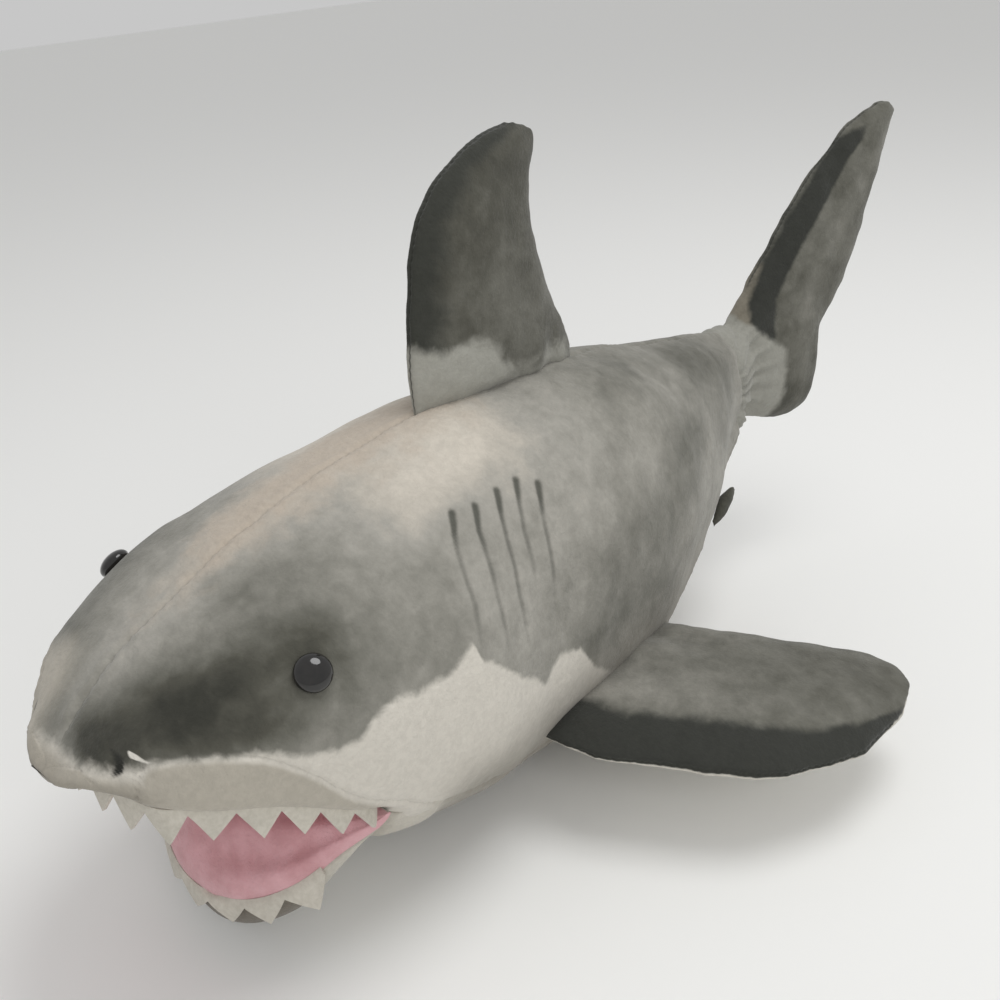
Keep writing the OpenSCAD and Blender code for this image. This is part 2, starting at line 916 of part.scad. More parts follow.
module tail_stuffing() {
    function side(sign_z) = [
        for (p = steps(1, 95, 16))
            [
                for (t = steps(0.06, 0.94, 8))
                    let (q = tail_point(p, t, skin))
                    [q[0], q[1], sign_z * max(q[2] - core_air, least_core)]
            ]
    ];
    color("white")
        at_tail()
            panel(side(1), side(-1), true);
}

body_stuffing();
flank_panel_left();
flank_panel_right();
belly_panel();
upper_lip_left();
upper_lip_right();
palate_lining();
upper_teeth();
eye_left();
eye_right();
eye_washer_left();
eye_washer_right();
chin_panel();
jaw_lining();
jaw_stuffing();
lower_teeth();
dorsal_panel_left();
dorsal_panel_right();
dorsal_stuffing();
pectoral_top_left();
pectoral_under_left();
pectoral_stuffing_left();
pectoral_top_right();
pectoral_under_right();
pectoral_stuffing_right();
pelvic_top_left();
pelvic_under_left();
pelvic_top_right();
pelvic_under_right();
tail_panel_left();
tail_panel_right();
tail_stuffing();
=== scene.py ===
# %% [markdown]
# # A stuffed plush shark
#
# The real toy is cut from short-pile plush with a printed pattern, sewn inside out, turned, filled
# with loose polyester fibre and closed by hand. Its hard parts are two domed plastic eyes. We start
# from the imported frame, which fixes every size, and give each sewn piece its own mesh and finish.

import json
import math
from contextlib import contextmanager

import bmesh
import bpy
import numpy as np
from mathutils import Matrix, Vector
from mathutils.bvhtree import BVHTree


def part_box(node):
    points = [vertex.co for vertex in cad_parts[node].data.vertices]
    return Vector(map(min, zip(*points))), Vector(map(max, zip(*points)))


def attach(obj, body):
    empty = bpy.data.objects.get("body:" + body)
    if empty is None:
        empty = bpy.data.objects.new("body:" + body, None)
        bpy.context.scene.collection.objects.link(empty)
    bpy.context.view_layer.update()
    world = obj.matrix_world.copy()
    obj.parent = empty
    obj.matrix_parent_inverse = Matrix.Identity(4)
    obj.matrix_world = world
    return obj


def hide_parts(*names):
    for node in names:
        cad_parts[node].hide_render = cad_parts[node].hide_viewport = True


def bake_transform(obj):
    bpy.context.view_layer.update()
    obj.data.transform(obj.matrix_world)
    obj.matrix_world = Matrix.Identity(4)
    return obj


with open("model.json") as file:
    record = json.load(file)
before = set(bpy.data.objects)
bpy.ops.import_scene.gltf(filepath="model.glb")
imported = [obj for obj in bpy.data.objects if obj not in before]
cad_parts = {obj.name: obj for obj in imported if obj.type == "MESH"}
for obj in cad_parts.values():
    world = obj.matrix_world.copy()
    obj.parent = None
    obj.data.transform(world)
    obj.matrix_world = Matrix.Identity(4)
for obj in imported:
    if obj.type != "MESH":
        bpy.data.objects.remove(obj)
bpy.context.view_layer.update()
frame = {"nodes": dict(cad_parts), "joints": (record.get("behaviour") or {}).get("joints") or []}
MM = 0.001
pivots = {joint["name"]: np.array(joint["pos_m"]) for joint in frame["joints"]}

# %% [markdown]
# ## Colours and finishes
#
# Print colours on cloth are judged against a shade card, so they are written as hex values
# in sRGB. A shader wants linear light, so one function turns them over. A second small function
# adds a node with its settings and links, which keeps each finish readable as a list of steps.

# %% Colour and node helpers
def linear(shade):
    """An sRGB hex shade as linear red, green, blue and alpha."""
    parts = [int(shade[i:i + 2], 16) / 255 for i in (1, 3, 5)]
    return [p / 12.92 if p <= 0.04045 else ((p + 0.055) / 1.055) ** 2.4 for p in parts] + [1.0]


def add(tree, kind, settings=None, **links):
    """Adds a node; a link or a value goes to the input of that name, or of that number as _0, _1."""
    node = tree.nodes.new("ShaderNode" + kind)
    for name, value in (settings or {}).items():
        setattr(node, name, value)
    for name, value in links.items():
        spot = int(name[1:]) if name[0] == "_" else name.replace("_", " ")
        if isinstance(value, bpy.types.NodeSocket):
            tree.links.new(value, node.inputs[spot])
        else:
            node.inputs[spot].default_value = value
    return node


def cloth_material(name, **settings):
    """A new material with a rough, sheened surface. Returns it, its tree and its shader."""
    material = bpy.data.materials.new(name)
    material.use_nodes = True
    tree = material.node_tree
    shader = tree.nodes["Principled BSDF"]
    for key, value in settings.items():
        shader.inputs[key.replace("_", " ")].default_value = value
    return material, tree, shader


# %% [markdown]
# ### Short-pile plush
#
# Printed plush, often sold as velboa, is a knitted polyester backing with a pile about 2 mm long.
# The pile lies over in patches where hands have stroked it, so one colour shows as soft lighter and
# darker clouds, and at a glancing angle the fibre tips catch the light, which the sheen gives. The
# print itself is airbrush-like: pale along the crown, dark on the snout and round the eyes,
# mid grey on the flanks and cream below. Where each shade goes is stored on the mesh as
# attributes in millimetres or as shares, and the nodes break those edges up with noise, the way
# ink spreads into pile.

# %% Plush finishes
PILE_TUFT = 1.6 * MM      # a tuft as the eye groups it; single fibres are too fine to show
STROKED_PATCH = 26 * MM   # patch over which the pile lies one way


def pile_bump(tree, place, depth=0.55):
    """Tufts with a slow drift in the lay of the pile, as a normal."""
    tufts = add(tree, "TexNoise", Vector=place, Scale=1 / PILE_TUFT, Detail=4.0, Roughness=0.65)
    lay = add(tree, "TexNoise", Vector=place, Scale=1 / (7 * MM), Detail=3.0, Roughness=0.6)
    both = add(tree, "Math", {"operation": "MULTIPLY_ADD"}, _0=lay.outputs["Fac"], _1=1.6,
               _2=tufts.outputs["Fac"])
    return add(tree, "Bump", Strength=depth, Distance=0.9 * MM, Height=both.outputs[0])


def share(tree, value, low, high, start=0.0, end=1.0):
    """A value eased from start to end as it goes from low to high."""
    return add(tree, "MapRange", {"interpolation_type": "SMOOTHSTEP"}, Value=value,
               From_Min=low, From_Max=high, To_Min=start, To_Max=end).outputs["Result"]


def blend_over(tree, under, over, amount):
    """One colour laid over another by a share from 0 to 1."""
    node = add(tree, "Mix", {"data_type": "RGBA"}, _0=amount, _6=under, _7=over)
    return node.outputs[2]


def clouds(tree, place, size, seed, detail=3.0):
    """Soft clouds about size across, centred on 0.5."""
    moved = add(tree, "VectorMath", {"operation": "ADD"}, _0=place, _1=(seed, 2.3 * seed, -seed))
    return add(tree, "TexNoise", Vector=moved.outputs[0], Scale=1 / size, Detail=detail,
               Roughness=0.55, Distortion=0.4).outputs["Fac"]


def mark(tree, name):
    """The value that the mesh carries under this name."""
    return add(tree, "Attribute", {"attribute_name": name}).outputs["Fac"]


def printed_plush(name, shades, parts, drift=0.34, fine=0.26):
    """Printed plush: a ground whose shade follows the mark "tone", broken up by clouds of two sizes,
    then each further part laid over it in turn; besides the print, parts can paint shade and highlights.

    shades runs from the darkest at tone 0 to the lightest at tone 1; parts is a list of
    (mark, shade, low, high, raggedness in the mark's units, size of the rags)."""
    material, tree, shader = cloth_material(
        name, Roughness=0.92, Sheen_Weight=0.18, Sheen_Roughness=0.45, Specular_IOR_Level=0.2)
    place = add(tree, "TexCoord").outputs["Object"]
    ramp = add(tree, "ValToRGB")
    while len(ramp.color_ramp.elements) < len(shades):
        ramp.color_ramp.elements.new(0.5)
    for i, shade in enumerate(shades):
        ramp.color_ramp.elements[i].position = i / (len(shades) - 1)
        ramp.color_ramp.elements[i].color = linear(shade)
    tone = mark(tree, "tone")
    for size, amount, seed, detail in ((STROKED_PATCH, drift, 1.0, 2.0), (9 * MM, fine, 5.0, 5.0)):
        noise = clouds(tree, place, size, seed, detail)
        push = add(tree, "Math", {"operation": "MULTIPLY_ADD"}, _0=noise, _1=amount, _2=-amount / 2)
        tone = add(tree, "Math", {"operation": "ADD"}, _0=tone, _1=push.outputs[0]).outputs[0]
    tree.links.new(tone, ramp.inputs["Fac"])
    colour = ramp.outputs["Color"]
    for i, (part, shade, low, high, rag, size) in enumerate(parts):
        noise = clouds(tree, place, size, 3.1 + i, 5.0)
        centred = add(tree, "Math", {"operation": "MULTIPLY_ADD"}, _0=noise, _1=2 * rag, _2=-rag)
        edge = add(tree, "Math", {"operation": "ADD"}, _0=mark(tree, part), _1=centred.outputs[0])
        amount = share(tree, edge.outputs[0], low, high)
        colour = blend_over(tree, colour, linear(shade), amount)
    nap = clouds(tree, place, 3.2 * MM, 9.0, 4.0)
    worn = add(tree, "HueSaturation", Color=colour, Value=share(tree, nap, 0.3, 0.7, 0.95, 1.04))
    tree.links.new(worn.outputs["Color"], shader.inputs["Base Color"])
    tree.links.new(pile_bump(tree, place).outputs["Normal"], shader.inputs["Normal"])
    return material


# %% [markdown]
# ## From coarse panels to cloth
#
# The frame's panels are coarse solids. Two ways turn them into cloth. The body is traced: rays go in
# towards its middle line and land on the panels, which gives an even grid that can carry seams and
# wrinkles exactly where they belong. The fins are plumped: their panels are fused by a voxel remesh
# and blown up with the cloth solver, pinned along the seam, which is how the real ones take
# their shape from the fibre pushed into them.

# %% Tracing helpers
def shell(*names):
    """A search tree over the faces of these frame nodes, and the node that each face is from."""
    points, faces, source = [], [], []
    for number, name in enumerate(names):
        mesh = frame["nodes"][name].data
        first = len(points)
        points += [v.co.copy() for v in mesh.vertices]
        faces += [[first + i for i in p.vertices] for p in mesh.polygons]
        source += [number] * len(mesh.polygons)
    return BVHTree.FromPolygons(points, faces), source


def eased(values, sigma, axis, wrap=False):
    """Values smoothed along one axis with a bell of sigma steps."""
    reach = max(int(3 * sigma), 1)
    bell = np.exp(-0.5 * (np.arange(-reach, reach + 1) / sigma) ** 2)
    bell /= bell.sum()
    padding = [(0, 0)] * values.ndim
    padding[axis] = (reach, reach)
    padded = np.pad(values, padding, mode="wrap" if wrap else "reflect",
                    **({} if wrap else {"reflect_type": "odd"}))
    return np.apply_along_axis(lambda line: np.convolve(line, bell, "valid"), axis, padded)


def swells(points, size, seed, waves=28):
    """Smooth random heights about size across, near the range -1 to 1, the same on every run."""
    draw = np.random.default_rng(seed)
    waves_at = draw.normal(size=(waves, 3)) / size * 2.2
    phases = draw.uniform(0, 2 * math.pi, waves)
    flat = points.reshape(-1, 3)
    total = sum(np.sin(flat @ w + p) for w, p in zip(waves_at, phases))
    return (total / math.sqrt(waves) * 0.9).reshape(points.shape[:-1])


def grid_normals(grid, wrap):
    """Outward normals of a grid whose rows run along the piece and whose columns go round it."""
    down = np.gradient(grid, axis=0)
    if wrap:
        across = np.roll(grid, -1, 1) - np.roll(grid, 1, 1)
    else:
        across = np.gradient(grid, axis=1)
    normals = np.cross(across, down)
    return normals / np.maximum(np.linalg.norm(normals, axis=2, keepdims=True), 1e-12)


def new_object(name, data):
    """A new object that holds this data, in the scene."""
    made = bpy.data.objects.new(name, data)
    bpy.context.scene.collection.objects.link(made)
    return made


def sewn(name, points, faces, marks=None):
    """A smooth-shaded mesh object from points and faces, with its marks as attributes."""
    mesh = bpy.data.meshes.new(name)
    mesh.from_pydata(points.reshape(-1, 3).tolist(), [], faces)
    mesh.validate()
    for key, values in (marks or {}).items():
        layer = mesh.attributes.new(key, "FLOAT", "POINT")
        layer.data.foreach_set("value", np.asarray(values, np.float32).ravel())
    mesh.polygons.foreach_set("use_smooth", [True] * len(mesh.polygons))
    return new_object(name, mesh)


@contextmanager
def editing(piece):
    """Opens a piece's mesh for editing, then writes it back."""
    mesh = bmesh.new()
    mesh.from_mesh(piece.data)
    yield mesh
    mesh.to_mesh(piece.data)
    mesh.free()


def drop_loose(mesh):
    """Removes the points that no face uses."""
    loose = [v for v in mesh.verts if not v.link_faces]
    bmesh.ops.delete(mesh, geom=loose, context="VERTS")


def grid_faces(rows, cols, wrap, keep=None):
    """Quads of a grid; keep is a test of a face's row and column."""
    last = cols if wrap else cols - 1
    return [
        (r * cols + c, r * cols + (c + 1) % cols, (r + 1) * cols + (c + 1) % cols, (r + 1) * cols + c)
        for r in range(rows - 1) for c in range(last) if keep is None or keep[r, c]
    ]


def near_line(points, line):
    """Distance from each point to a line through some points, in metres, and how far along it is."""
    line = np.array(line, float) * MM
    lengths = np.linalg.norm(np.diff(line, axis=0), axis=1)
    ahead = np.concatenate([[0], np.cumsum(lengths)])
    best = np.full(points.shape[:-1], 1.0)
    place = np.zeros(points.shape[:-1])
    for i, (a, b) in enumerate(zip(line[:-1], line[1:])):
        t = np.clip(((points - a) @ (b - a)) / lengths[i] ** 2, 0, 1)
        gap = np.linalg.norm(points - (a + t[..., None] * (b - a)), axis=-1)
        closer = gap < best
        best = np.where(closer, gap, best)
        place = np.where(closer, (ahead[i] + t * lengths[i]) / ahead[-1], place)
    return best, place


# %% [markdown]
# ### The body's skin
#
# Two printed flanks meet in a seam along the back, a cream belly panel closes them below, and a
# crescent of plush makes each half of the upper lip. Each ring of rays goes round the body at one
# place along it. The rings crowd together at the snout, because the surface turns quickly there.

# %% Trace the body
SKIN_NODES = ["flank_panel_left", "flank_panel_right", "belly_panel",
              "upper_lip_left", "upper_lip_right", "palate_lining"]
ROOF = SKIN_NODES.index("palate_lining")
skin_tree, skin_source = shell(*SKIN_NODES)
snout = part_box("flank_panel_left")[0].y
mouth_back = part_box("belly_panel")[0].y
tail_seam = pivots["tail_bend"][1]
NOSE_ROUND = 43 * MM     # length over which the snout rounds off
RING_STEP = 1.05 * MM
skin_end = tail_seam - 29 * MM
turns = np.radians(np.linspace(4, 90, 62))
rings_y = np.concatenate([
    snout + NOSE_ROUND * (1 - np.cos(turns)),
    np.arange(snout + NOSE_ROUND + RING_STEP, skin_end, RING_STEP),
])
rings_y = rings_y[(rings_y < mouth_back - 1.2 * MM) | (rings_y > mouth_back + 0.6 * MM)]
COLUMNS = 420
angles = np.linspace(0, 2 * math.pi, COLUMNS, endpoint=False)


def middle_line(y):
    """Height of a line inside the head and body from which every ring is seen whole."""
    ahead = np.clip((y - snout) / (120 * MM), 0, 1)
    return (144 - 30 * ahead ** 1.5 + 12 * np.clip((y - snout - 300 * MM) / (180 * MM), 0, 1)) * MM


traced = np.full((len(rings_y), COLUMNS, 3), np.nan)
from_node = np.full((len(rings_y), COLUMNS), -1)
REACH = 0.25
for r, y in enumerate(rings_y):
    centre = Vector((0, y, middle_line(y)))
    for c, a in enumerate(angles):
        aim = Vector((-math.sin(a), 0, -math.cos(a)))
        spot, _, face, _ = skin_tree.ray_cast(centre - aim * REACH, aim, REACH)
        if spot:
            traced[r, c] = spot
            from_node[r, c] = skin_source[face]
for r in range(len(rings_y)):
    found = ~np.isnan(traced[r, :, 0])
    steps = np.arange(COLUMNS)
    for k in range(3):
        traced[r, :, k] = np.interp(steps, steps[found], traced[r, found, k], period=COLUMNS)
    from_node[r, ~found] = from_node[r, found][
        np.searchsorted(steps[found], steps[~found]).clip(0, found.sum() - 1)]
for r in range(len(rings_y)):
    flat = np.flatnonzero(from_node[r] == ROOF)
    if len(flat) > 4:
        even = np.linspace(traced[r, flat[0], 0], traced[r, flat[-1], 0], len(flat))
        order = np.argsort(traced[r, flat, 0])
        traced[r, flat, 2] = np.interp(even, traced[r, flat, 0][order], traced[r, flat, 2][order])
        traced[r, flat, 0] = even
skin_grid = eased(eased(traced, 3.0, 1, True), 5.0, 0)
skin_grid[:, :, 1] = eased(traced[:, :, 1], 2.0, 0)
print("body grid:", skin_grid.shape, "rays missed:", int((from_node < 0).sum()))

# %% [markdown]
# ### Where the seams run
#
# A seam shows as a shallow furrow with the cloth standing up a little on each side of it, drawn in
# at each stitch. Its place is where the rays stop landing on one panel and start on the next.

# %% Seam distances and the raised relief
half = COLUMNS // 2
right_half = np.arange(half + 1)


def seam_column(first_node):
    """For each ring, the column on the left side where the flank ends."""
    flank = (from_node[:, right_half] == first_node)
    return eased(flank.sum(axis=1).astype(float)[:, None], 4.0, 0)[:, 0]


flank_edge = seam_column(0)
step_round = np.linalg.norm(skin_grid - np.roll(skin_grid, 1, 1), axis=2)
column = np.minimum(np.arange(COLUMNS), COLUMNS - np.arange(COLUMNS))
low_seam = (column[None, :] - flank_edge[:, None]) * step_round
back_seam = np.abs(skin_grid[:, :, 0])
above = skin_grid[:, :, 2] > middle_line(skin_grid[:, :, 1])
back_seam = np.where(above, back_seam, 1.0)
y_mm = skin_grid[:, :, 1] / MM
z_mm = skin_grid[:, :, 2] / MM
x_mm = skin_grid[:, :, 0] / MM
STITCH = 4.2
LIP_SAG = 2.0 * MM   # how far the lip's lower edge hangs under the roof of the mouth
draw_in = 0.75 + 0.25 * np.cos(2 * math.pi * y_mm / STITCH)


def furrow(distance, width, depth):
    """A seam's cross-section: a furrow with soft shoulders, in metres."""
    d = distance / (width * MM)
    return depth * MM * (-np.exp(-d ** 2) + 0.35 * np.exp(-((np.abs(d) - 2.6) / 1.7) ** 2))


relief = furrow(back_seam, 1.5, 1.3) * draw_in + furrow(low_seam, 1.6, 1.2) * draw_in
relief *= np.clip((skin_grid[:, :, 1] - snout - 3 * MM) / (10 * MM), 0, 1)
relief += swells(skin_grid, 46 * MM, 3) * 0.9 * MM + swells(skin_grid, 17 * MM, 4) * 0.28 * MM
stock = np.exp(-((rings_y[-1] - skin_grid[:, :, 1]) / (26 * MM)) ** 2)
around = np.arctan2(x_mm, z_mm - 130)
relief += stock * (0.8 * MM * np.sin(9 * around + 3 * np.sin(2 * around)) + 0.15 * MM
                   * np.sin(21 * around + 1.3))
pucker = np.exp(-(low_seam / (13 * MM)) ** 2) + np.exp(-(back_seam / (9 * MM)) ** 2)
relief += 0.22 * MM * pucker * swells(skin_grid * [1, 2.4, 1], 9 * MM, 5)
lip_share = np.clip((mouth_back - skin_grid[:, :, 1]) / (18 * MM), 0, 1)
lip_corner = (from_node == ROOF).sum(axis=1)[:, None] / 2
lip_corner = eased(COLUMNS / 2 - lip_corner, 3.0, 0)
to_corner = (column[None, :] - lip_corner) * step_round
sag = lip_share * np.exp(-(to_corner / (7 * MM)) ** 2)
skin_grid[:, :, 2] -= LIP_SAG * sag
skin_grid[:, :, 0] += 1.2 * MM * sag * np.sign(x_mm)
tuck = np.clip(1 - (rings_y[-1] - skin_grid[:, :, 1]) / (4 * MM), 0, 1)
relief -= 3.5 * MM * tuck ** 2
skin_grid = skin_grid + relief[..., None] * grid_normals(skin_grid, True)
print("deepest and highest relief, mm:", round(relief.min() / MM, 2), round(relief.max() / MM, 2))

# %% [markdown]
# ### The print and the painted shade on the body
#
# The shades are blocked out as fields over the skin: how far a point is above or below the edge of
# the cream, how strongly the dark patch round the snout and the eye reaches it, and how
# close it is to one of the five gill strokes or to the comma of the nostril. Further fields paint
# shade under the snout and the nose, low on the belly and in the seams, and a highlight along
# the nostril's raised edge. Places are in the frame's millimetres, given on the shark's left and
# used on both sides.

# %% Print fields and painted shade
CREAM_EDGE = [  # [along, height] of the top of the cream, from the nose to the tail
    (-303, 136), (-290, 139), (-283, 141), (-274, 143), (-260, 142), (-249, 141), (-236, 134),
    (-223, 130), (-213, 131), (-207, 137), (-198, 139), (-182, 136), (-166, 136), (-153, 141),
    (-150, 131), (-141, 124), (-128, 110), (-119, 103), (-108, 93), (-95, 101), (-80, 96),
    (-70, 80), (-50, 62), (0, 44), (80, 52), (160, 84), (190, 100),
]
TONES = [  # (middle, reach of each of across, along and up, change of tone)
    ((34, -264, 156), (15, 15, 9), -0.34), ((47, -243, 160), (12, 17, 8), -0.36),
    ((16, -287, 148), (14, 9, 8), -0.42), ((20, -290, 143), (14, 8, 6), -0.2),
    ((62, -232, 152), (10, 14, 9), -0.28),
    ((60, -214, 170), (12, 13, 8), -0.34), ((30, -283, 145), (9, 6, 5), -0.22),
    ((74, -208, 150), (9, 15, 10), -0.16), ((46, -262, 148), (12, 12, 5), -0.30),
    ((62, -249, 146), (9, 12, 5), -0.22), ((70, -226, 142), (9, 14, 6), -0.14),
    ((6, -262, 160), (7, 22, 12), 0.10), ((30, -222, 178), (14, 22, 9), -0.14),
    ((30, -190, 186), (14, 20, 8), -0.06), ((66, -175, 172), (16, 20, 12), -0.04),
    ((80, -165, 150), (12, 25, 14), -0.05), ((44, -148, 189), (16, 18, 9), 0.20),
    ((34, -116, 197), (18, 22, 9), 0.34), ((78, -128, 150), (12, 18, 18), 0.10),
    ((50, -62, 182), (22, 26, 16), 0.12), ((70, -55, 150), (18, 22, 22), 0.02),
    ((52, -12, 175), (20, 18, 12), -0.06), ((76, -30, 128), (12, 30, 12), -0.12),
    ((74, -62, 92), (12, 24, 12), -0.16), ((72, -12, 96), (14, 34, 22), -0.14),
    ((62, 28, 140), (18, 26, 16), -0.20), ((30, 30, 192), (26, 26, 10), -0.20),
    ((62, 8, 152), (12, 12, 10), 0.12), ((50, 62, 150), (14, 18, 12), -0.1),
    ((44, 60, 110), (18, 40, 22), 0.04), ((20, 95, 176), (16, 18, 10), -0.18),
    ((38, 105, 128), (14, 18, 14), -0.14), ((24, 134, 150), (14, 14, 16), -0.16),
    ((10, 128, 172), (14, 9, 8), 0.04), ((20, -100, 200), (20, 14, 8), 0.34),
    ((24, 110, 165), (22, 22, 12), -0.2), ((0, -150, 200), (9, 60, 9), 0.10),
]
GILLS = [
    [(55, -130, 182), (62, -136, 176), (66, -139, 172), (74, -143, 162), (78, -144, 154), (85, -149, 137)],
    [(56, -117, 180), (63, -123, 173), (70, -126, 165), (79, -130, 148), (84, -133, 126)],
    [(54, -101, 180), (62, -107, 173), (68, -111, 164), (77, -116, 144), (82, -118, 119)],
    [(54, -88, 180), (61, -94, 172), (67, -99, 163), (76, -104, 141)],
    [(58, -78, 175), (63, -82, 168), (67, -85, 162), (76, -91, 137), (78, -94, 128)],
]
NOSTRIL = [
    (26, -286, 145.5), (30, -286, 144.5), (32.5, -286, 142.5), (33, -286.5, 139.5), (31, -288, 136.5),
]
# Painted highlight: a pale line along the raised upper edge of the nostril.
NOSTRIL_HIGHLIGHT_LINE = [(27, -284, 148.5), (32, -283, 147), (36, -281.5, 144), (42, -278, 141.5)]

folded = skin_grid.copy()
folded[:, :, 0] = np.abs(folded[:, :, 0])
edge = np.array(CREAM_EDGE, float)
cream = np.interp(y_mm, edge[:, 0], edge[:, 1]) - z_mm
cream = np.minimum(cream, 40)
tone = np.full_like(y_mm, 0.56)
lighter_side = np.where(x_mm < 0, 0.4, 1.0)   # the print is weaker on the shark's right
for middle, reach_of, change in TONES:
    patch = np.exp(-0.5 * (((folded / MM - middle) / reach_of) ** 2).sum(axis=2))
    tone += change * patch * (lighter_side if middle[1] < -200 else 1.0)
crown_half = np.interp(y_mm, [-300, -250, -190, -140, -100], [12, 22, 28, 36, 34])
crown_share = np.interp(y_mm, [-298, -280, -240, -200, -96, -70, -40],
                        [0, 0.2, 0.5, 0.9, 1.0, 0.8, 0.0])
crown = above * crown_share * np.exp(-(x_mm / crown_half) ** 2)
far_side = np.clip(1.0 - x_mm / 60, 0.8, 1.2)
tone += 0.22 * crown * far_side
tone = np.clip(tone, 0.04, 1)
stroke = np.zeros_like(y_mm)
groove = np.zeros_like(y_mm)
for line in GILLS:
    gap, place = near_line(folded, line)
    width = np.interp(place, [0, 0.15, 0.5, 1], [2.3, 1.9, 2.2, 2.6]) * MM
    strength = np.interp(place, [0, 0.12, 0.3, 0.75, 1], [1, 1, 0.66, 0.56, 0.3])
    stroke = np.maximum(stroke, strength * np.exp(-(gap / width) ** 2))
    groove += np.interp(place, [0, 0.3, 1], [0.9, 0.5, 0.1]) * MM * np.exp(-(gap / (1.8 * MM)) ** 2)
gap, place = near_line(folded, NOSTRIL)
nostril = np.exp(-(gap / (np.interp(place, [0, 0.5, 1], [1.5, 2.6, 2.0]) * MM)) ** 2)
groove += 1.4 * MM * np.exp(-(gap / (2.2 * MM)) ** 2)
gap, place = near_line(folded, NOSTRIL_HIGHLIGHT_LINE)
nostril_highlight = 0.9 * np.exp(-(gap / (1.3 * MM)) ** 2)
skin_grid -= groove[..., None] * grid_normals(skin_grid, True)
# Partly the thread, partly painted shadow: the seam furrows are darkened in colour.
seam_shadow = np.exp(-(back_seam / (1.1 * MM)) ** 2) + np.exp(-(low_seam / (1.1 * MM)) ** 2)
# Painted shadow where the skin tucks in at the tail's seam ring.
seam_shadow += 2.2 * np.clip(1 - (rings_y[-1] - skin_grid[:, :, 1]) / (3.5 * MM), 0, 1)
# Painted shade: the cream is darkened on the lip's cloth turned under below the lower seam, on the far
# side of the snout and under the nose.
lip_painted_shade = np.clip((low_seam / MM - 0.5) / 4, 0, 1) * np.clip((mouth_back / MM - y_mm) / 12, 0, 1)
right_of_nose = np.clip((-x_mm - 5) / 25, 0, 1) * np.clip((-255 - y_mm) / 20, 0, 1)
under_nose = 1.3 * np.clip((139 - z_mm) / 8, 0, 1) * np.clip((-262 - y_mm) / 12, 0, 1)
lip_painted_shade = np.maximum(np.maximum(lip_painted_shade, right_of_nose), under_nose)
# Painted shade under the tip of the nose.
nose_tip_painted_shade = np.clip((137 - z_mm) / 8, 0, 1) * np.clip((-276 - y_mm) / 12, 0, 1)
# Painted shade low on the belly behind the mouth, darker towards the bottom.
low_belly_painted_shade = np.clip((98 - z_mm) / 50, 0, 1) * np.clip((y_mm - mouth_back / MM) / 30, 0, 1)
skin_marks = {
    "tone": tone, "cream": cream, "crown": crown * far_side, "stroke": stroke, "nostril": nostril,
    "nostril_highlight": nostril_highlight, "lip": lip_painted_shade, "nose": nose_tip_painted_shade, "under": low_belly_painted_shade, "seam": seam_shadow}
print("tone over the skin, from and to:", round(float(tone.min()), 2), round(float(tone.max()), 2))

# %% [markdown]
# ### Cut the lining from the skin
#
# One grid gives the plush skin and the lining of the roof of the mouth, cut apart a little in from
# where the frame's lining starts, so that the two share their edge exactly as sewn cloth does. The
# roof of the mouth is lined with pink fleece.

# %% Body panels
LIP_TURN = 7 * MM   # how far the lip's cloth turns under before the lining starts
under_lip = from_node == ROOF
lining_edge = eased(COLUMNS / 2 - under_lip.sum(axis=1)[:, None] / 2, 3.0, 0)
lined = under_lip & ((column[None, :] - lining_edge) * step_round > LIP_TURN)
lined = lined[:-1]
body_faces = grid_faces(len(rings_y), COLUMNS, True, ~lined)
body_points = skin_grid.reshape(-1, 3)
skin = sewn("body_skin", body_points, body_faces, skin_marks)
with editing(skin) as mesh:
    mesh.verts.ensure_lookup_table()
    mesh.faces.new([mesh.verts[c] for c in reversed(range(COLUMNS))])
    drop_loose(mesh)
    for face in mesh.faces:
        face.smooth = True
    bmesh.ops.recalc_face_normals(mesh, faces=mesh.faces)
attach(skin, "body")
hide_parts("flank_panel_left", "flank_panel_right", "belly_panel",
            "upper_lip_left", "upper_lip_right", "body_stuffing")

roof_faces = grid_faces(len(rings_y), COLUMNS, True, lined)
roof = sewn("palate_cloth", body_points, roof_faces)
with editing(roof) as mesh:
    drop_loose(mesh)
    bmesh.ops.reverse_faces(mesh, faces=mesh.faces)
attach(roof, "body")
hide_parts("palate_lining")
print("body faces:", len(skin.data.polygons), "roof faces:", len(roof.data.polygons))

# %% Body finish
SHARK_GREYS = ("#3a3a34", "#525149", "#6f6e66", "#8a8880", "#a3a098", "#bbb5aa", "#cac3b7")
body_plush = printed_plush(
    "printed velboa, grey shark print", SHARK_GREYS,
    [
        ("crown", "#b9aea0", 0.35, 1.0, 0.45, 12 * MM),
        ("cream", "#cfcac0", -1.5, 3.0, 3.2, 7 * MM),
        # painted shade under the snout, on its far side and under the nose
        ("lip", "#b0aa9e", 0.1, 0.9, 0.15, 14 * MM),
        # painted shade under the tip of the nose
        ("nose", "#8f897e", 0.1, 1.0, 0.15, 14 * MM),
        # painted shade low on the belly
        ("under", "#8b867c", 0.0, 1.2, 0.2, 20 * MM),
        ("stroke", "#5b5b54", 0.15, 0.9, 0.12, 5 * MM),
        ("nostril", "#30302c", 0.25, 0.75, 0.04, 6 * MM),
        # painted highlight on the nostril's raised edge
        ("nostril_highlight", "#dad6cd", 0.35, 0.6, 0.05, 3 * MM),
        # the thread and painted shadow in the seam furrows and at the tail's seam ring
        ("seam", "#6f6e67", 0.5, 2.2, 0.2, 3 * MM),
    ])
skin.data.materials.append(body_plush)

# %% [markdown]
# ### Fleece in the mouth
#
# The mouth is lined with brushed fleece, which is a little longer and duller than the plush. Its pink
# is uneven because the nap lies in soft waves.

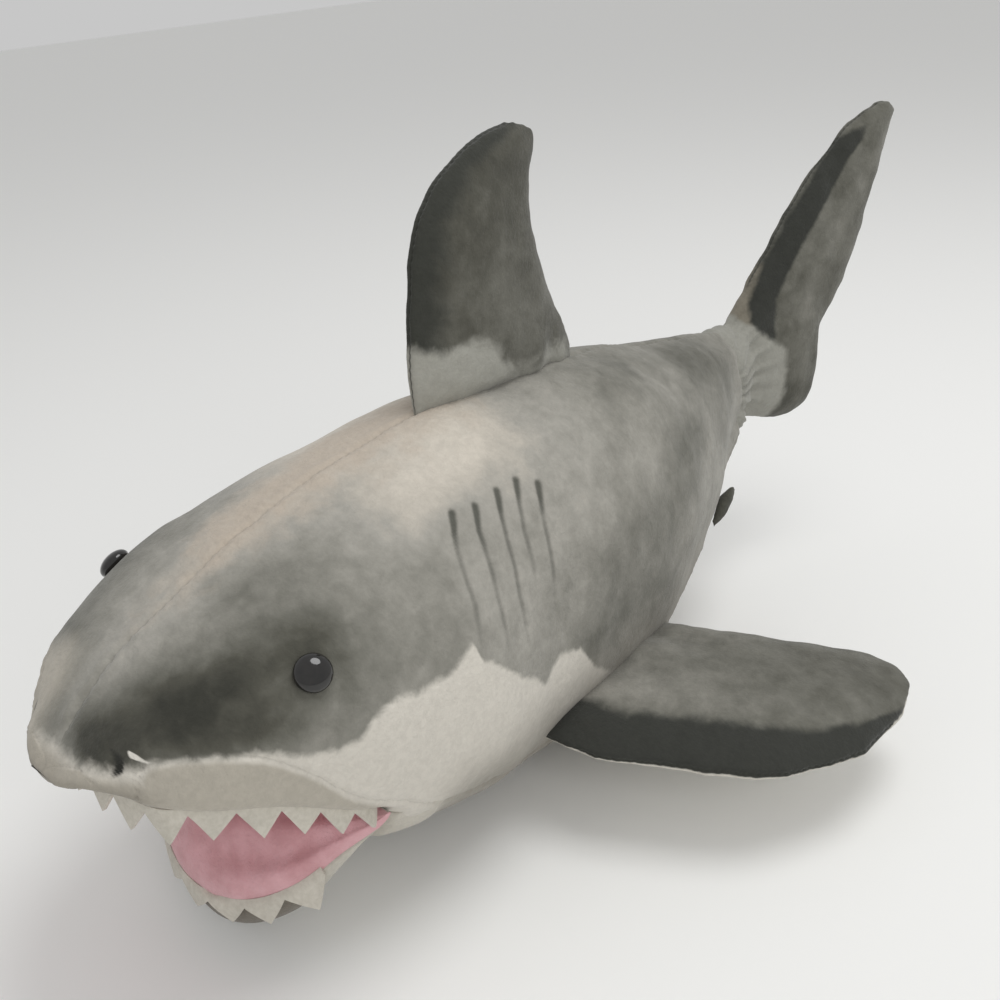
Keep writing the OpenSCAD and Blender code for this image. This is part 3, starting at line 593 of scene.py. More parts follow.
# %% Fleece finish
def fleece(name, dark, light):
    """Brushed fleece whose nap shifts between two shades."""
    material, tree, shader = cloth_material(
        name, Roughness=0.95, Sheen_Weight=0.3, Sheen_Roughness=0.5, Specular_IOR_Level=0.2)
    place = add(tree, "TexCoord").outputs["Object"]
    nap = clouds(tree, place, 14 * MM, 6.0, 4.0)
    colour = blend_over(tree, linear(dark), linear(light), share(tree, nap, 0.3, 0.7))
    tree.links.new(colour, shader.inputs["Base Color"])
    tree.links.new(pile_bump(tree, place, 0.7).outputs["Normal"], shader.inputs["Normal"])
    return material


pink_fleece = fleece("brushed polyester fleece, pink", "#c8969a", "#d8a9ae")
roof.data.materials.append(pink_fleece)

# %% [markdown]
# ## Plumped fins
#
# A fin is two panels sewn round their edge and lightly filled. The mesh is remeshed at 2.4 mm,
# with a copy pushed into the body so that its root meets the flank full-thickness. The cloth
# solver then blows it up for twenty frames while the seam and the root are pinned.

# %% Plumping helpers
FIN_VOXEL = 2.4 * MM
FIN_STITCH = 4.5 * MM
RIM_REACH = 2.6 * MM     # half the width of the pinned seam
CLOTH_FRAMES = 20


def joined(names, moves):
    """One mesh of these frame nodes, repeated at each move."""
    mesh = bmesh.new()
    for name in names:
        for move in moves:
            start = len(mesh.verts)
            mesh.from_mesh(frame["nodes"][name].data)
            mesh.verts.ensure_lookup_table()
            bmesh.ops.translate(mesh, verts=mesh.verts[start:], vec=Vector(move))
    return mesh


def apply_modifiers(piece):
    """Bakes what the modifiers make into the mesh."""
    bpy.context.view_layer.update()
    made = bpy.data.meshes.new_from_object(
        piece.evaluated_get(bpy.context.evaluated_depsgraph_get()))
    piece.modifiers.clear()
    piece.data = made


def coordinates(piece):
    """Every point of the piece, as an array."""
    return np.array([v.co for v in piece.data.vertices], float).reshape(-1, 3)


def move_points(piece, points):
    """Puts the piece's points at new places."""
    piece.data.vertices.foreach_set("co", points.astype(np.float32).ravel())
    piece.data.update()


def vertex_normals(piece):
    """The surface's direction at every point, as an array."""
    return np.array([n.vector for n in piece.data.vertex_normals], float).reshape(-1, 3)


def largest_part(piece):
    """Keeps the outer surface and drops any bubble that the remesh left inside."""
    with editing(piece) as mesh:
        seen, best = set(), []
        for vertex in mesh.verts:
            if vertex.index in seen:
                continue
            part, queue = [], [vertex]
            seen.add(vertex.index)
            while queue:
                v = queue.pop()
                part.append(v)
                for e in v.link_edges:
                    other = e.other_vert(v)
                    if other.index not in seen:
                        seen.add(other.index)
                        queue.append(other)
            best = max(best, part, key=len)
        keep = set(v.index for v in best)
        bmesh.ops.delete(mesh, geom=[v for v in mesh.verts if v.index not in keep], context="VERTS")


def fused(name, names, moves=((0, 0, 0),), voxel=FIN_VOXEL, rounds=6):
    """The nodes as one closed, even, softened surface."""
    mesh = joined(names, moves)
    data = bpy.data.meshes.new(name)
    mesh.to_mesh(data)
    mesh.free()
    piece = new_object(name, data)
    remesh = piece.modifiers.new("remesh", "REMESH")
    remesh.mode = "VOXEL"
    remesh.voxel_size = voxel
    smooth = piece.modifiers.new("smooth", "SMOOTH")
    smooth.factor = 0.5
    smooth.iterations = rounds
    apply_modifiers(piece)
    largest_part(piece)
    return piece


def plump(piece, pinned, pressure=4.0, cap=2.5 * MM):
    """Blows the piece up with the cloth solver; pinned is a share from 0 to 1 for each point."""
    rest = coordinates(piece)
    group = piece.vertex_groups.new(name="seam")
    for i, w in enumerate(pinned):
        group.add([i], float(w), "REPLACE")
    cloth = piece.modifiers.new("cloth", "CLOTH")
    cloth.settings.quality = 6
    cloth.settings.mass = 0.2
    cloth.settings.tension_stiffness = 12
    cloth.settings.compression_stiffness = 12
    cloth.settings.shear_stiffness = 6
    cloth.settings.bending_stiffness = 0.4
    cloth.settings.use_pressure = True
    cloth.settings.uniform_pressure_force = pressure
    cloth.settings.effector_weights.gravity = 0
    cloth.settings.vertex_group_mass = "seam"
    cloth.collision_settings.use_collision = False
    scene = bpy.context.scene
    for number in range(1, CLOTH_FRAMES + 1):
        scene.frame_set(number)
    apply_modifiers(piece)
    scene.frame_set(1)
    piece.vertex_groups.clear()
    moved = coordinates(piece) - rest
    length = np.linalg.norm(moved, axis=1, keepdims=True)
    move_points(piece, rest + moved * np.minimum(1, cap / np.maximum(length, 1e-9)))
    print(piece.name, "swelled by up to", round(float(length.max()) / MM, 1), "mm, capped")


def refine(piece):
    """Divides each face once, smoothly."""
    modifier = piece.modifiers.new("refine", "SUBSURF")
    modifier.levels = 1
    modifier.render_levels = 1
    apply_modifiers(piece)


def seam_rim(gap, facing):
    """Where a fin's seam runs, as a share; gap is how far a point lies off the fin's plane."""
    return np.exp(-(gap / RIM_REACH) ** 2) * (np.abs(facing) < 0.6)


def edge_share(facing):
    """How far the surface is turned edge-on to the fin's plane, from 0 to 1."""
    return np.clip(1.3 - 1.6 * np.abs(facing), 0, 1)


def seam_thread_and_shadow(edge_on, gap):
    """The dark line in the bottom of a fin's seam: the thread, with painted shadow in the furrow."""
    return edge_on * np.exp(-(gap / (1.0 * MM)) ** 2)


def stitched(points, across, gap, edge_on):
    """A fin's seam as a furrow, drawn in at each stitch; across is the second axis it runs along."""
    stitch = 0.7 + 0.3 * np.cos(2 * math.pi * (points[:, 1] + points[:, across]) / FIN_STITCH)
    return furrow(gap, 1.2, 1.1) * edge_on * stitch


def set_marks(piece, marks):
    """Adds marks to a finished piece and shades it smooth."""
    for key, values in marks.items():
        layer = piece.data.attributes.new(key, "FLOAT", "POINT")
        layer.data.foreach_set("value", np.asarray(values, np.float32))
    piece.data.polygons.foreach_set("use_smooth", [True] * len(piece.data.polygons))


# %% [markdown]
# ### The dorsal fin
#
# It stands on the back, dark with a darker leading edge and a paler band along its base. A copy
# shifted down gives the thick root that sits on the spine seam.

# %% Dorsal fin
DORSAL_SINK = 9 * MM
dorsal_low, dorsal_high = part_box("dorsal_panel_left")
dorsal = fused("dorsal_skin", ["dorsal_panel_left", "dorsal_panel_right", "dorsal_stuffing"],
               [(0, 0, 0), (0, 0.5 * MM, -0.5 * DORSAL_SINK), (0, 0, -DORSAL_SINK)])
points = coordinates(dorsal)
normals = vertex_normals(dorsal)
rim = seam_rim(points[:, 0], normals[:, 0])
root = np.clip(1 - (points[:, 2] - dorsal_low.z) / (10 * MM), 0, 1)
plump(dorsal, np.clip(np.maximum(rim, root), 0, 1))
refine(dorsal)
points = coordinates(dorsal)
normals = vertex_normals(dorsal)
edge_on = edge_share(normals[:, 0])
seam_gap = points[:, 0]
lift = stitched(points, 2, seam_gap, edge_on)
lift += swells(points, 26 * MM, 11) * 0.7 * MM + swells(points, 9 * MM, 12) * 0.25 * MM
foot = np.exp(-((points[:, 2] - dorsal_low.z) / (14 * MM)) ** 2)
lift += foot * 0.9 * MM * np.sin(points[:, 1] / (5.2 * MM) + 2 * np.sin(points[:, 1] / (19 * MM)))
move_points(dorsal, points + lift[:, None] * normals)
rise = np.clip((points[:, 2] - dorsal_low.z) / (dorsal_high.z - dorsal_low.z), 0, 1)
lead = np.interp(rise, [0, 0.2, 0.47, 0.71, 0.88, 1.0],
                 np.array([0, 0.01, 0.03, 0.10, 0.27, 0.6])) * (dorsal_high.y - dorsal_low.y)
from_lead = points[:, 1] - dorsal_low.y - lead
set_marks(dorsal, {
    "strip": (1 - from_lead / (30 * MM)) * np.clip((rise - 0.12) / 0.1, 0, 1),
    "band": (1 - (rise + 0.03 * np.sin(from_lead / (9 * MM)) + 1.4 * from_lead - 0.18) / 0.22)
    * np.clip(1.5 - from_lead / (52 * MM), 0.45, 1),
    "tone": 0.25 - 0.12 * rise + 0.06 * np.exp(-((from_lead - 62 * MM) / (26 * MM)) ** 2
                                                - ((rise - 0.36) / 0.25) ** 2),
    "seam": seam_thread_and_shadow(edge_on, seam_gap)})
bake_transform(dorsal)
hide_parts("dorsal_panel_left", "dorsal_panel_right", "dorsal_stuffing")
fin_plush = printed_plush(
    "printed velboa, dark fin print", SHARK_GREYS,
    [
        ("strip", "#3c3d38", 0.2, 0.75, 0.22, 12 * MM),
        ("band", "#a09f97", 0.35, 0.62, 0.16, 8 * MM),
        ("seam", "#33342f", 0.3, 1.2, 0.1, 3 * MM),
    ], drift=0.3, fine=0.22)
dorsal.data.materials.append(fin_plush)
print("dorsal faces:", len(dorsal.data.polygons))

# %% [markdown]
# ### The pectoral fins
#
# Each side fin lies out flat, grey on top with a near-black strip along its leading edge and cream
# plush underneath. The copy that makes the root goes into the flank.

# %% Pectoral fins
PECTORAL_SINK = 13 * MM
pectoral_plush = printed_plush(
    "printed velboa, side fin print", SHARK_GREYS,
    [
        ("strip", "#3a3b37", 0.35, 0.55, 0.12, 10 * MM),
        ("under", "#cbc7bd", 0.3, 0.7, 0.2, 8 * MM),
        ("seam", "#3a3b36", 0.3, 1.2, 0.1, 3 * MM),
    ], drift=0.3, fine=0.24)


def pectoral(side, word):
    """One side fin; side is 1 on the shark's left and -1 on its right."""
    names = [f"pectoral_top_{word}", f"pectoral_under_{word}", f"pectoral_stuffing_{word}"]
    low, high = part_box(names[0])
    middle = pivots[f"{word}_pectoral_flap"][2]
    inward = -side * PECTORAL_SINK
    fin = fused(f"pectoral_skin_{word}", names, [(0, 0, 0), (inward / 2, 0, 0), (inward, 0, 0)])
    points = coordinates(fin)
    normals = vertex_normals(fin)
    root_x = abs(pivots[f"{word}_pectoral_flap"][0])
    out = np.abs(points[:, 0]) - root_x
    rim = seam_rim(points[:, 2] - middle, normals[:, 2])
    plump(fin, np.clip(np.maximum(rim, np.clip(1 - out / (10 * MM), 0, 1)), 0, 1))
    refine(fin)
    points = coordinates(fin)
    normals = vertex_normals(fin)
    out = np.abs(points[:, 0]) - root_x
    edge_on = edge_share(normals[:, 2])
    seam_gap = points[:, 2] - middle
    lift = stitched(points, 0, seam_gap, edge_on)
    lift += swells(points, 30 * MM, 21) * 0.8 * MM + swells(points, 11 * MM, 22) * 0.3 * MM
    foot = np.exp(-(out / (22 * MM)) ** 2)
    lift += foot * 1.1 * MM * np.sin(points[:, 1] / (6.5 * MM) + 1.5 * np.sin(points[:, 1] / (21 * MM)))
    reach = (high.x - root_x) if side > 0 else (-low.x - root_x)
    share_out = np.clip(out / reach, 0, 1)
    points = points + lift[:, None] * normals
    points[:, 2] -= 7 * MM * share_out ** 2 * np.clip((share_out - 0.5) * 2, 0, 1)
    move_points(fin, points)
    span = high.y - low.y
    lead = np.interp(share_out, [0, 0.2, 0.42, 0.63, 0.8, 0.93, 1.0],
                     [0, 0.02, 0.11, 0.2, 0.3, 0.47, 0.7]) * span
    from_lead = points[:, 1] - low.y - lead
    set_marks(fin, {
        "strip": 1 - from_lead / (46 * MM),
        "tone": 0.42 - 0.2 * share_out + 0.12 * np.exp(-((from_lead - 40 * MM) / (14 * MM)) ** 2)
        * (1 - 0.7 * share_out),
        "under": np.clip(0.5 - normals[:, 2] * 2 - (from_lead < 12 * MM) * 0.6, 0, 1),
        "seam": seam_thread_and_shadow(edge_on, seam_gap)})
    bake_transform(fin)
    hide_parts(*names)
    fin.data.materials.append(pectoral_plush)
    print(fin.name, "faces:", len(fin.data.polygons))


pectoral(1, "left")
pectoral(-1, "right")

# %% [markdown]
# ### The tail
#
# The tail is one sewn piece with the narrow stock at the end of the body. Its skin is fused with
# the end of the body and cut just ahead of the seam ring.

# %% Tail
TAIL_START = skin_end - 4 * MM
tail_names = ["tail_panel_left", "tail_panel_right", "tail_stuffing"]
tail = fused("tail_skin", tail_names + ["body_stuffing", "flank_panel_left", "flank_panel_right",
                                        "belly_panel"], rounds=9)
with editing(tail) as mesh:
    geometry = mesh.verts[:] + mesh.edges[:] + mesh.faces[:]
    bmesh.ops.bisect_plane(mesh, geom=geometry, plane_co=(0, TAIL_START - 4 * MM, 0),
                           plane_no=(0, 1, 0), clear_inner=True)
points = coordinates(tail)
hinge = pivots["tail_bend"]
bend = math.radians(20)
along_dir = np.array([math.sin(bend), math.cos(bend), 0])
across_dir = np.array([math.cos(bend), -math.sin(bend), 0])


def tail_place(points):
    """A point's reach behind the hinge, its height over it and its distance off the tail's plane."""
    off = points - hinge
    return off @ along_dir, off[:, 2], off @ across_dir


reach, height, off_plane = tail_place(points)
normals = vertex_normals(tail)
rim = seam_rim(off_plane, normals @ across_dir) * (reach > 5 * MM)
plump(tail, np.clip(np.maximum(rim, (points[:, 1] < TAIL_START + 8 * MM)), 0, 1), cap=3 * MM)
refine(tail)
points = coordinates(tail)
normals = vertex_normals(tail)
reach, height, off_plane = tail_place(points)
edge_on = edge_share(normals @ across_dir) * np.clip(reach / (8 * MM), 0, 1)
lift = stitched(points, 2, off_plane, edge_on)
lift += swells(points, 24 * MM, 31) * 0.8 * MM + swells(points, 9 * MM, 32) * 0.3 * MM
fan = np.arctan2(height, reach + 46 * MM)
creased = np.exp(-((reach + 8 * MM) / (20 * MM)) ** 2)
lift += np.interp(points[:, 1], [TAIL_START - 1 * MM, TAIL_START + 5 * MM, TAIL_START + 14 * MM],
                  [-2.2 * MM, 0.9 * MM, 0.3 * MM])
lift += creased * (1.5 * MM * np.sin(26 * fan + 2 * np.sin(5 * fan)) + 0.6 * MM * np.sin(61 * fan))
move_points(tail, points + lift[:, None] * normals)
tail_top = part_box("tail_panel_left")[1].z - hinge[2]
up = np.clip(height / tail_top, -0.3, 1)
lead = np.interp(up, [-0.3, 0.18, 0.28, 0.44, 0.61, 0.8, 0.9, 1.0],
                 np.array([0, 0, 1, 13, 29, 48, 62, 92])) / 100 * 121 * MM
from_lead = reach - lead
set_marks(tail, {
    "root": 1 - (reach + 1.3 * np.clip(height - 8 * MM, 0, None)
                 + 0.5 * np.clip(-height - 22 * MM, 0, None) - 16 * MM) / (22 * MM),
    "brown": (1 - from_lead / (7 * MM)) * np.clip((height - 20 * MM) / (12 * MM), 0, 1)
    * np.clip((72 * MM - height) / (14 * MM), 0, 1),
    "strip": np.exp(-((from_lead - 10 * MM) / (11 * MM)) ** 2)
    * np.clip((height - 8 * MM) / (12 * MM), 0, 1) * np.clip((146 * MM - height) / (16 * MM), 0, 1),
    "tone": 0.26 + 0.10 * np.exp(-((from_lead - 44 * MM) / (9 * MM)) ** 2)
    - 0.12 * np.clip(-height / (25 * MM), 0, 1),
    "seam": seam_thread_and_shadow(edge_on, off_plane)})
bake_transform(tail)
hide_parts(*tail_names)
tail.data.materials.append(printed_plush(
    "printed velboa, tail print", SHARK_GREYS,
    [
        ("brown", "#7d786c", 0.3, 0.55, 0.15, 8 * MM),
        ("strip", "#393a36", 0.35, 0.65, 0.16, 8 * MM),
        ("root", "#96958d", 0.25, 0.6, 0.2, 9 * MM),
        ("seam", "#3b3c37", 0.3, 1.2, 0.1, 3 * MM),
    ], drift=0.3, fine=0.26))
print("tail faces:", len(tail.data.polygons))

# %% [markdown]
# ### The pelvic fins
#
# Two flaps the size of a thumb nail, sewn into the lower seam. They are remeshed finely and left
# unplumped, because there is hardly any fibre in them.

# %% Pelvic fins
for word in ("left", "right"):
    names = [f"pelvic_top_{word}", f"pelvic_under_{word}"]
    flap = fused(f"pelvic_skin_{word}", names, voxel=1.2 * MM, rounds=4)
    points = coordinates(flap)
    blank = np.zeros(len(points))
    set_marks(flap, {"tone": blank + 0.15, "strip": blank, "band": blank, "seam": blank})
    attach(flap, "body")
    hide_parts(*names)
    flap.data.materials.append(fin_plush)

# %% [markdown]
# ## The lower jaw
#
# The jaw is a stuffed scoop. Its chin is one sheet with the throat, so the sheet is drawn round
# the scoop from the lip, under the chin and back on to the belly. The floor is a cushion of pink
# fleece with a few soft folds across it.

# %% Chin and throat
fold = pivots["jaw_hinge"]
chin_tree, _ = shell("chin_panel")
chin_low, chin_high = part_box("chin_panel")
CHIN_TAPER = 0.22 * MM   # how much the jaw narrows for each degree under its lip
jaw_half = chin_high.x


def scoop_reach(angle):
    """Distance of the chin's outside from the fold, in the middle plane."""
    aim = Vector((0, math.cos(angle), math.sin(angle)))
    spot = chin_tree.ray_cast(Vector(fold) - aim * 0.2, aim, 0.2)[0]
    return (spot - Vector(fold)).length if spot else None


slopes = np.radians(np.arange(20, 90, 0.25))
reaches = [(a, scoop_reach(a)) for a in slopes]
reaches = [(a, r) for a, r in reaches if r]
lip_slope, throat_slope = reaches[0][0], reaches[-1][0]
print("jaw slopes, degrees:", round(math.degrees(lip_slope), 1), round(math.degrees(throat_slope), 1),
      "lip reach, mm:", round(reaches[0][1] / MM, 1))
CHIN_COLUMNS = 150
chin_rows = np.linspace(lip_slope, throat_slope, 52)
reach_curve = np.interp(chin_rows, [a for a, _ in reaches], [r for _, r in reaches])
reach_curve = eased(reach_curve[:, None], 2.0, 0)[:, 0]
turn = np.linspace(-math.pi / 2, math.pi / 2, CHIN_COLUMNS)
width = jaw_half - CHIN_TAPER * np.degrees(chin_rows - lip_slope)
JAW_ROUND = 0.88   # how round the jaw is in plan; 1 is an ellipse and less is fuller at the sides


def plan(turn):
    """Share of the jaw's reach at each turn round the lip."""
    return np.clip(np.cos(turn), 0, 1) ** JAW_ROUND


def flared(turn):
    """The jaw spreads at the corners of the mouth, to meet the cheeks."""
    return 1 + 0.15 * np.exp(-(plan(turn) / 0.26) ** 2)


chin_grid = np.stack([
    width[:, None] * (np.sin(turn) * flared(turn))[None, :],
    fold[1] - reach_curve[:, None] * plan(turn)[None, :] * np.cos(chin_rows)[:, None],
    fold[2] - reach_curve[:, None] * plan(turn)[None, :] * np.sin(chin_rows)[:, None],
], axis=2)
lip_reach = reaches[0][1]
toward_lip = np.array([0, -math.cos(lip_slope), -math.sin(lip_slope)])
off_floor = np.array([0, -math.sin(lip_slope), math.cos(lip_slope)])


def on_lip(turn, inset, lift):
    """Points round the jaw's lip, in from its edge and off the plane of the floor."""
    inset, lift = np.broadcast_to(inset, turn.shape), np.broadcast_to(lift, turn.shape)
    return (np.array([1, 0, 0]) * ((jaw_half - 0.8 * inset) * np.sin(turn) * flared(turn))[:, None]
            + np.array(fold)
            + toward_lip * ((lip_reach - inset) * plan(turn))[:, None] + off_floor * lift[:, None])


LIP_ROLL = ((6.5, -3.0), (5.4, -0.8), (4.0, 0.5), (2.4, 1.0), (0.8, 0.8), (-0.4, 0.2))  # inset, lift, mm
roll = np.array([on_lip(turn, inset * MM, lift * MM) for inset, lift in LIP_ROLL])
chin_grid = np.concatenate([roll, chin_grid[1:]])

THROAT_LENGTH = 30 * MM
landing_row = int(np.argmin(np.abs(rings_y - (mouth_back + THROAT_LENGTH))))
landing_turn = math.pi - turn * (72 / 90)
landing = np.stack([
    np.interp(landing_turn % (2 * math.pi), np.append(angles, 2 * math.pi),
              np.append(skin_grid[landing_row, :, k], skin_grid[landing_row, 0, k]))
    for k in range(3)], axis=1)
print("throat lands at, mm:", (landing[[0, CHIN_COLUMNS // 2, -1]] / MM).round(0).tolist())
throat = []
for t in np.linspace(0, 1, 26)[1:]:
    ease = t * t * (3 - 2 * t)
    row = chin_grid[-1] * (1 - ease) + landing * ease
    row[:, 1] = chin_grid[-1, :, 1] * (1 - t) + landing[:, 1] * t
    for i, p in enumerate(row):
        if p[1] < mouth_back + 1 * MM:
            continue
        hem = np.clip((abs(turn[i]) / (math.pi / 2) - 0.78) / 0.2, 0, 1)
        sink = np.interp(t, [0, 0.75, 1], [0.8, 0.8, -1.2]) * (1 - hem) * MM - 2.2 * MM * hem
        centre = Vector((0, p[1], middle_line(p[1])))
        aim = (Vector(p) - centre).normalized()
        spot = skin_tree.ray_cast(centre + aim * REACH, -aim, REACH)[0]
        if spot and (spot - centre).length + sink > (Vector(p) - centre).length or t > 0.75 \
                or hem > 0.3:
            row[i] = spot + aim * sink if spot else p
    throat.append(row)
chin_grid = np.concatenate([chin_grid, np.array(throat)])
chin_grid = eased(eased(chin_grid, 1.3, 0), 2.0, 1)
chin_grid += (swells(chin_grid, 24 * MM, 41) * 0.8 * MM)[..., None] * grid_normals(chin_grid, False)
chin = sewn("chin_skin", chin_grid, grid_faces(len(chin_grid), CHIN_COLUMNS, False))
with editing(chin) as mesh:
    bmesh.ops.recalc_face_normals(mesh, faces=mesh.faces)
thick = chin.modifiers.new("cloth", "SOLIDIFY")
thick.thickness = 1.2 * MM
thick.offset = -1
apply_modifiers(chin)
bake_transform(chin)
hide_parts("chin_panel", "jaw_stuffing")
# The chin part is painted shadow: the cream darkens under the chin.
cream_plush = printed_plush(
    "plain velboa, cream", ("#9c978c", "#b1aca1", "#c0bbb0", "#cac5bb"),
    [("chin", "#746e64", 0.3, 0.9, 0.15, 12 * MM)], drift=0.4, fine=0.3)
chin.data.materials.append(cream_plush)
points = coordinates(chin)
# The chin mark is painted shadow under the chin, ahead of the mouth and low down.
set_marks(chin, {"tone": np.full(len(points), 0.6),
                 "chin": np.clip((mouth_back - 14 * MM - points[:, 1]) / (26 * MM), 0, 1)
                 * np.clip((64 * MM - points[:, 2]) / (26 * MM), 0, 1)})

# %% Floor of the mouth
FLOOR_SWELL = 12 * MM
rows_out = np.linspace(0, 1, 64)
turn = np.linspace(-math.pi / 2, math.pi / 2, 110)
out, round_lip = np.meshgrid(rows_out, turn, indexing="ij")
across = np.clip(np.cos(round_lip), 0, 1)
distance = plan(round_lip) * (0.02 + 0.98 * out) * (lip_reach - 0.6 * MM)
bulge = FLOOR_SWELL * across ** 0.6 * np.sin(math.pi * np.clip(out, 0, 1) ** 1.2) ** 0.6
bulge += 1.2 * MM * np.sin(math.pi * np.clip(out, 0, 1) ** 5) - 0.6 * MM * out ** 20
folds = 2.7 * MM * np.sin(out * 13.5 + 1.5 * np.sin(round_lip * 1.7 - 0.4) + 0.6)
folds *= np.sin(math.pi * out) ** 0.8 * np.clip(across * 1.3, 0, 1)
folds *= 0.35 + 0.65 * np.sin(round_lip * 1.3 + 0.8) ** 2
floor_grid = (np.array([1, 0, 0]) * ((jaw_half - 0.6 * MM) * np.sin(round_lip)
                                    * flared(round_lip))[..., None] + fold
              + toward_lip * distance[..., None]
              + off_floor * (0.4 * MM + bulge + folds)[..., None])
floor_grid += (swells(floor_grid, 15 * MM, 51) * 0.5 * MM)[..., None] * off_floor
floor = sewn("mouth_floor", floor_grid, grid_faces(64, 110, False))
with editing(floor) as mesh:
    bmesh.ops.recalc_face_normals(mesh, faces=mesh.faces)
    if sum(f.normal.dot(Vector(off_floor)) for f in mesh.faces) < 0:
        bmesh.ops.reverse_faces(mesh, faces=mesh.faces)
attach(floor, "jaw")
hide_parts("jaw_lining")
floor.data.materials.append(pink_fleece)

# %% [markdown]
# ## Felt teeth
#
# Each row of teeth is cut from one strip of pressed felt and caught in the lip seam. Felt is matted
# fibre with no weave: its edges are crisp but slightly furry, and its face is dull with a fine
# irregular grain. The upper strip hangs from the lip's own edge. The lower one folds over the jaw's
# lip and lies on the cloth of the chin.

# %% Teeth
def felt_material():
    """Pressed felt with a fine grain and a little handling."""
    material, tree, shader = cloth_material(
        "pressed wool felt, natural", Roughness=0.97, Sheen_Weight=0.15, Specular_IOR_Level=0.15)
    place = add(tree, "TexCoord").outputs["Object"]
    grain = clouds(tree, place, 2.2 * MM, 4.0, 6.0)
    stain = clouds(tree, place, 16 * MM, 8.0, 3.0)
    colour = blend_over(tree, linear("#bdb8ac"), linear("#cbc6bb"), share(tree, grain, 0.25, 0.75))
    shaded = add(tree, "HueSaturation", Color=colour, Value=share(tree, stain, 0.3, 0.7, 0.95, 1.04))
    tree.links.new(shaded.outputs["Color"], shader.inputs["Base Color"])
    tree.links.new(pile_bump(tree, place, 0.35).outputs["Normal"], shader.inputs["Normal"])
    return material


felt = felt_material()
FELT = 1.8 * MM
STRIP = 3.5 * MM


def tooth_row(name, sheet, lengths, body, node):
    """A strip of felt cut into teeth. sheet is rows of points that say how the felt lies, a
    millimetre apart from its top edge down, and lengths is each tooth's length below the strip."""
    run = np.concatenate([[0], np.cumsum(np.linalg.norm(np.diff(sheet[0], axis=0), axis=1))])
    count = len(lengths)
    fine = 14
    stops = np.linspace(0, run[-1], count * fine + 1)
    lie = np.stack([[np.interp(stops, run, row[:, k]) for k in range(3)] for row in sheet])
    lie = lie.transpose(2, 0, 1)                       # stop, length down, place
    phase = (np.arange(count * fine + 1) % fine) / fine
    number = np.minimum(np.arange(count * fine + 1) // fine, count - 1)
    share_down = 1 - np.abs(2 * phase - 1)
    drop = STRIP + np.array(lengths)[number] * share_down
    draw = np.random.default_rng(len(name))
    slant = draw.normal(0, 0.9 * MM, count)[number] * share_down
    curl = draw.normal(0.4 * MM, 0.5 * MM, count)[number] * share_down
    along_row = np.gradient(lie[:, 0], axis=0)
    along_row /= np.linalg.norm(along_row, axis=1, keepdims=True)
    rows = np.linspace(0, 1, 16)
    grid = np.zeros((16, len(stops), 3))
    for s in range(len(stops)):
        for k in range(3):
            grid[:, s, k] = np.interp(rows * drop[s] / MM, np.arange(len(sheet)), lie[s, :, k])
    outward = grid_normals(grid, False)
    middle = grid.mean(axis=(0, 1))
    if ((grid - middle) * outward).sum() < 0:
        outward = -outward
    grid += rows[:, None, None] * slant[:, None] * along_row
    grid += (rows[:, None] ** 2 * curl)[..., None] * outward
    teeth = sewn(name, grid, grid_faces(16, len(stops), False))
    solid = teeth.modifiers.new("felt", "SOLIDIFY")
    solid.thickness = FELT
    solid.offset = 0
    bevel = teeth.modifiers.new("cut edge", "BEVEL")
    bevel.width = 0.35 * MM
    bevel.segments = 2
    bevel.limit_method = "ANGLE"
    bevel.angle_limit = math.radians(50)
    apply_modifiers(teeth)
    teeth.data.materials.append(felt)
    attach(teeth, body)
    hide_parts(node)
    print(name, "teeth:", count, "row length, mm:", round(run[-1] / MM),
          "faces:", len(teeth.data.polygons))


# %% Upper teeth
rows_with_roof = np.flatnonzero((from_node == ROOF).sum(axis=1) > 6)
rows_with_roof = rows_with_roof[rings_y[rows_with_roof] < mouth_back - 5 * MM]
corner = np.round(lip_corner[rows_with_roof, 0]).astype(int) + 2
left_edge = skin_grid[rows_with_roof[::-1], corner[::-1]]
right_edge = skin_grid[rows_with_roof, COLUMNS - corner]
rim = np.concatenate([left_edge, right_edge])
inward = np.stack([-rim[:, 0], 0.5 * (mouth_back - rim[:, 1]), 0 * rim[:, 0]], axis=1)
outward = -inward / np.linalg.norm(inward, axis=1, keepdims=True)
rim = eased(rim - outward * 1.6 * MM + [0, 0, 1.0 * MM], 4.0, 0)
front = np.clip((mouth_back - 74 * MM - rim[:, 1]) / (14 * MM), 0, 1)
rim[:, 1] -= 2.0 * MM * front
rim[:, 2] -= 6.5 * MM * front
hang = np.array([0, 0, -1.0]) + 0.14 * outward
hang /= np.linalg.norm(hang, axis=1, keepdims=True)
sheet = np.array([rim + length * MM * hang for length in range(18)])
UPPER_TEETH = 16
place = np.linspace(-1, 1, UPPER_TEETH)
lengths = (11.8 - 3.4 * np.abs(place) ** 5) * MM
tooth_row("upper_teeth_felt", sheet, lengths, "body", "upper_teeth")

# %% Lower teeth
chin_surface = BVHTree.FromPolygons([Vector(p) for p in chin_grid.reshape(-1, 3)],
                                    grid_faces(len(chin_grid), CHIN_COLUMNS, False))
spread = np.radians(np.linspace(-64, 64, 129))


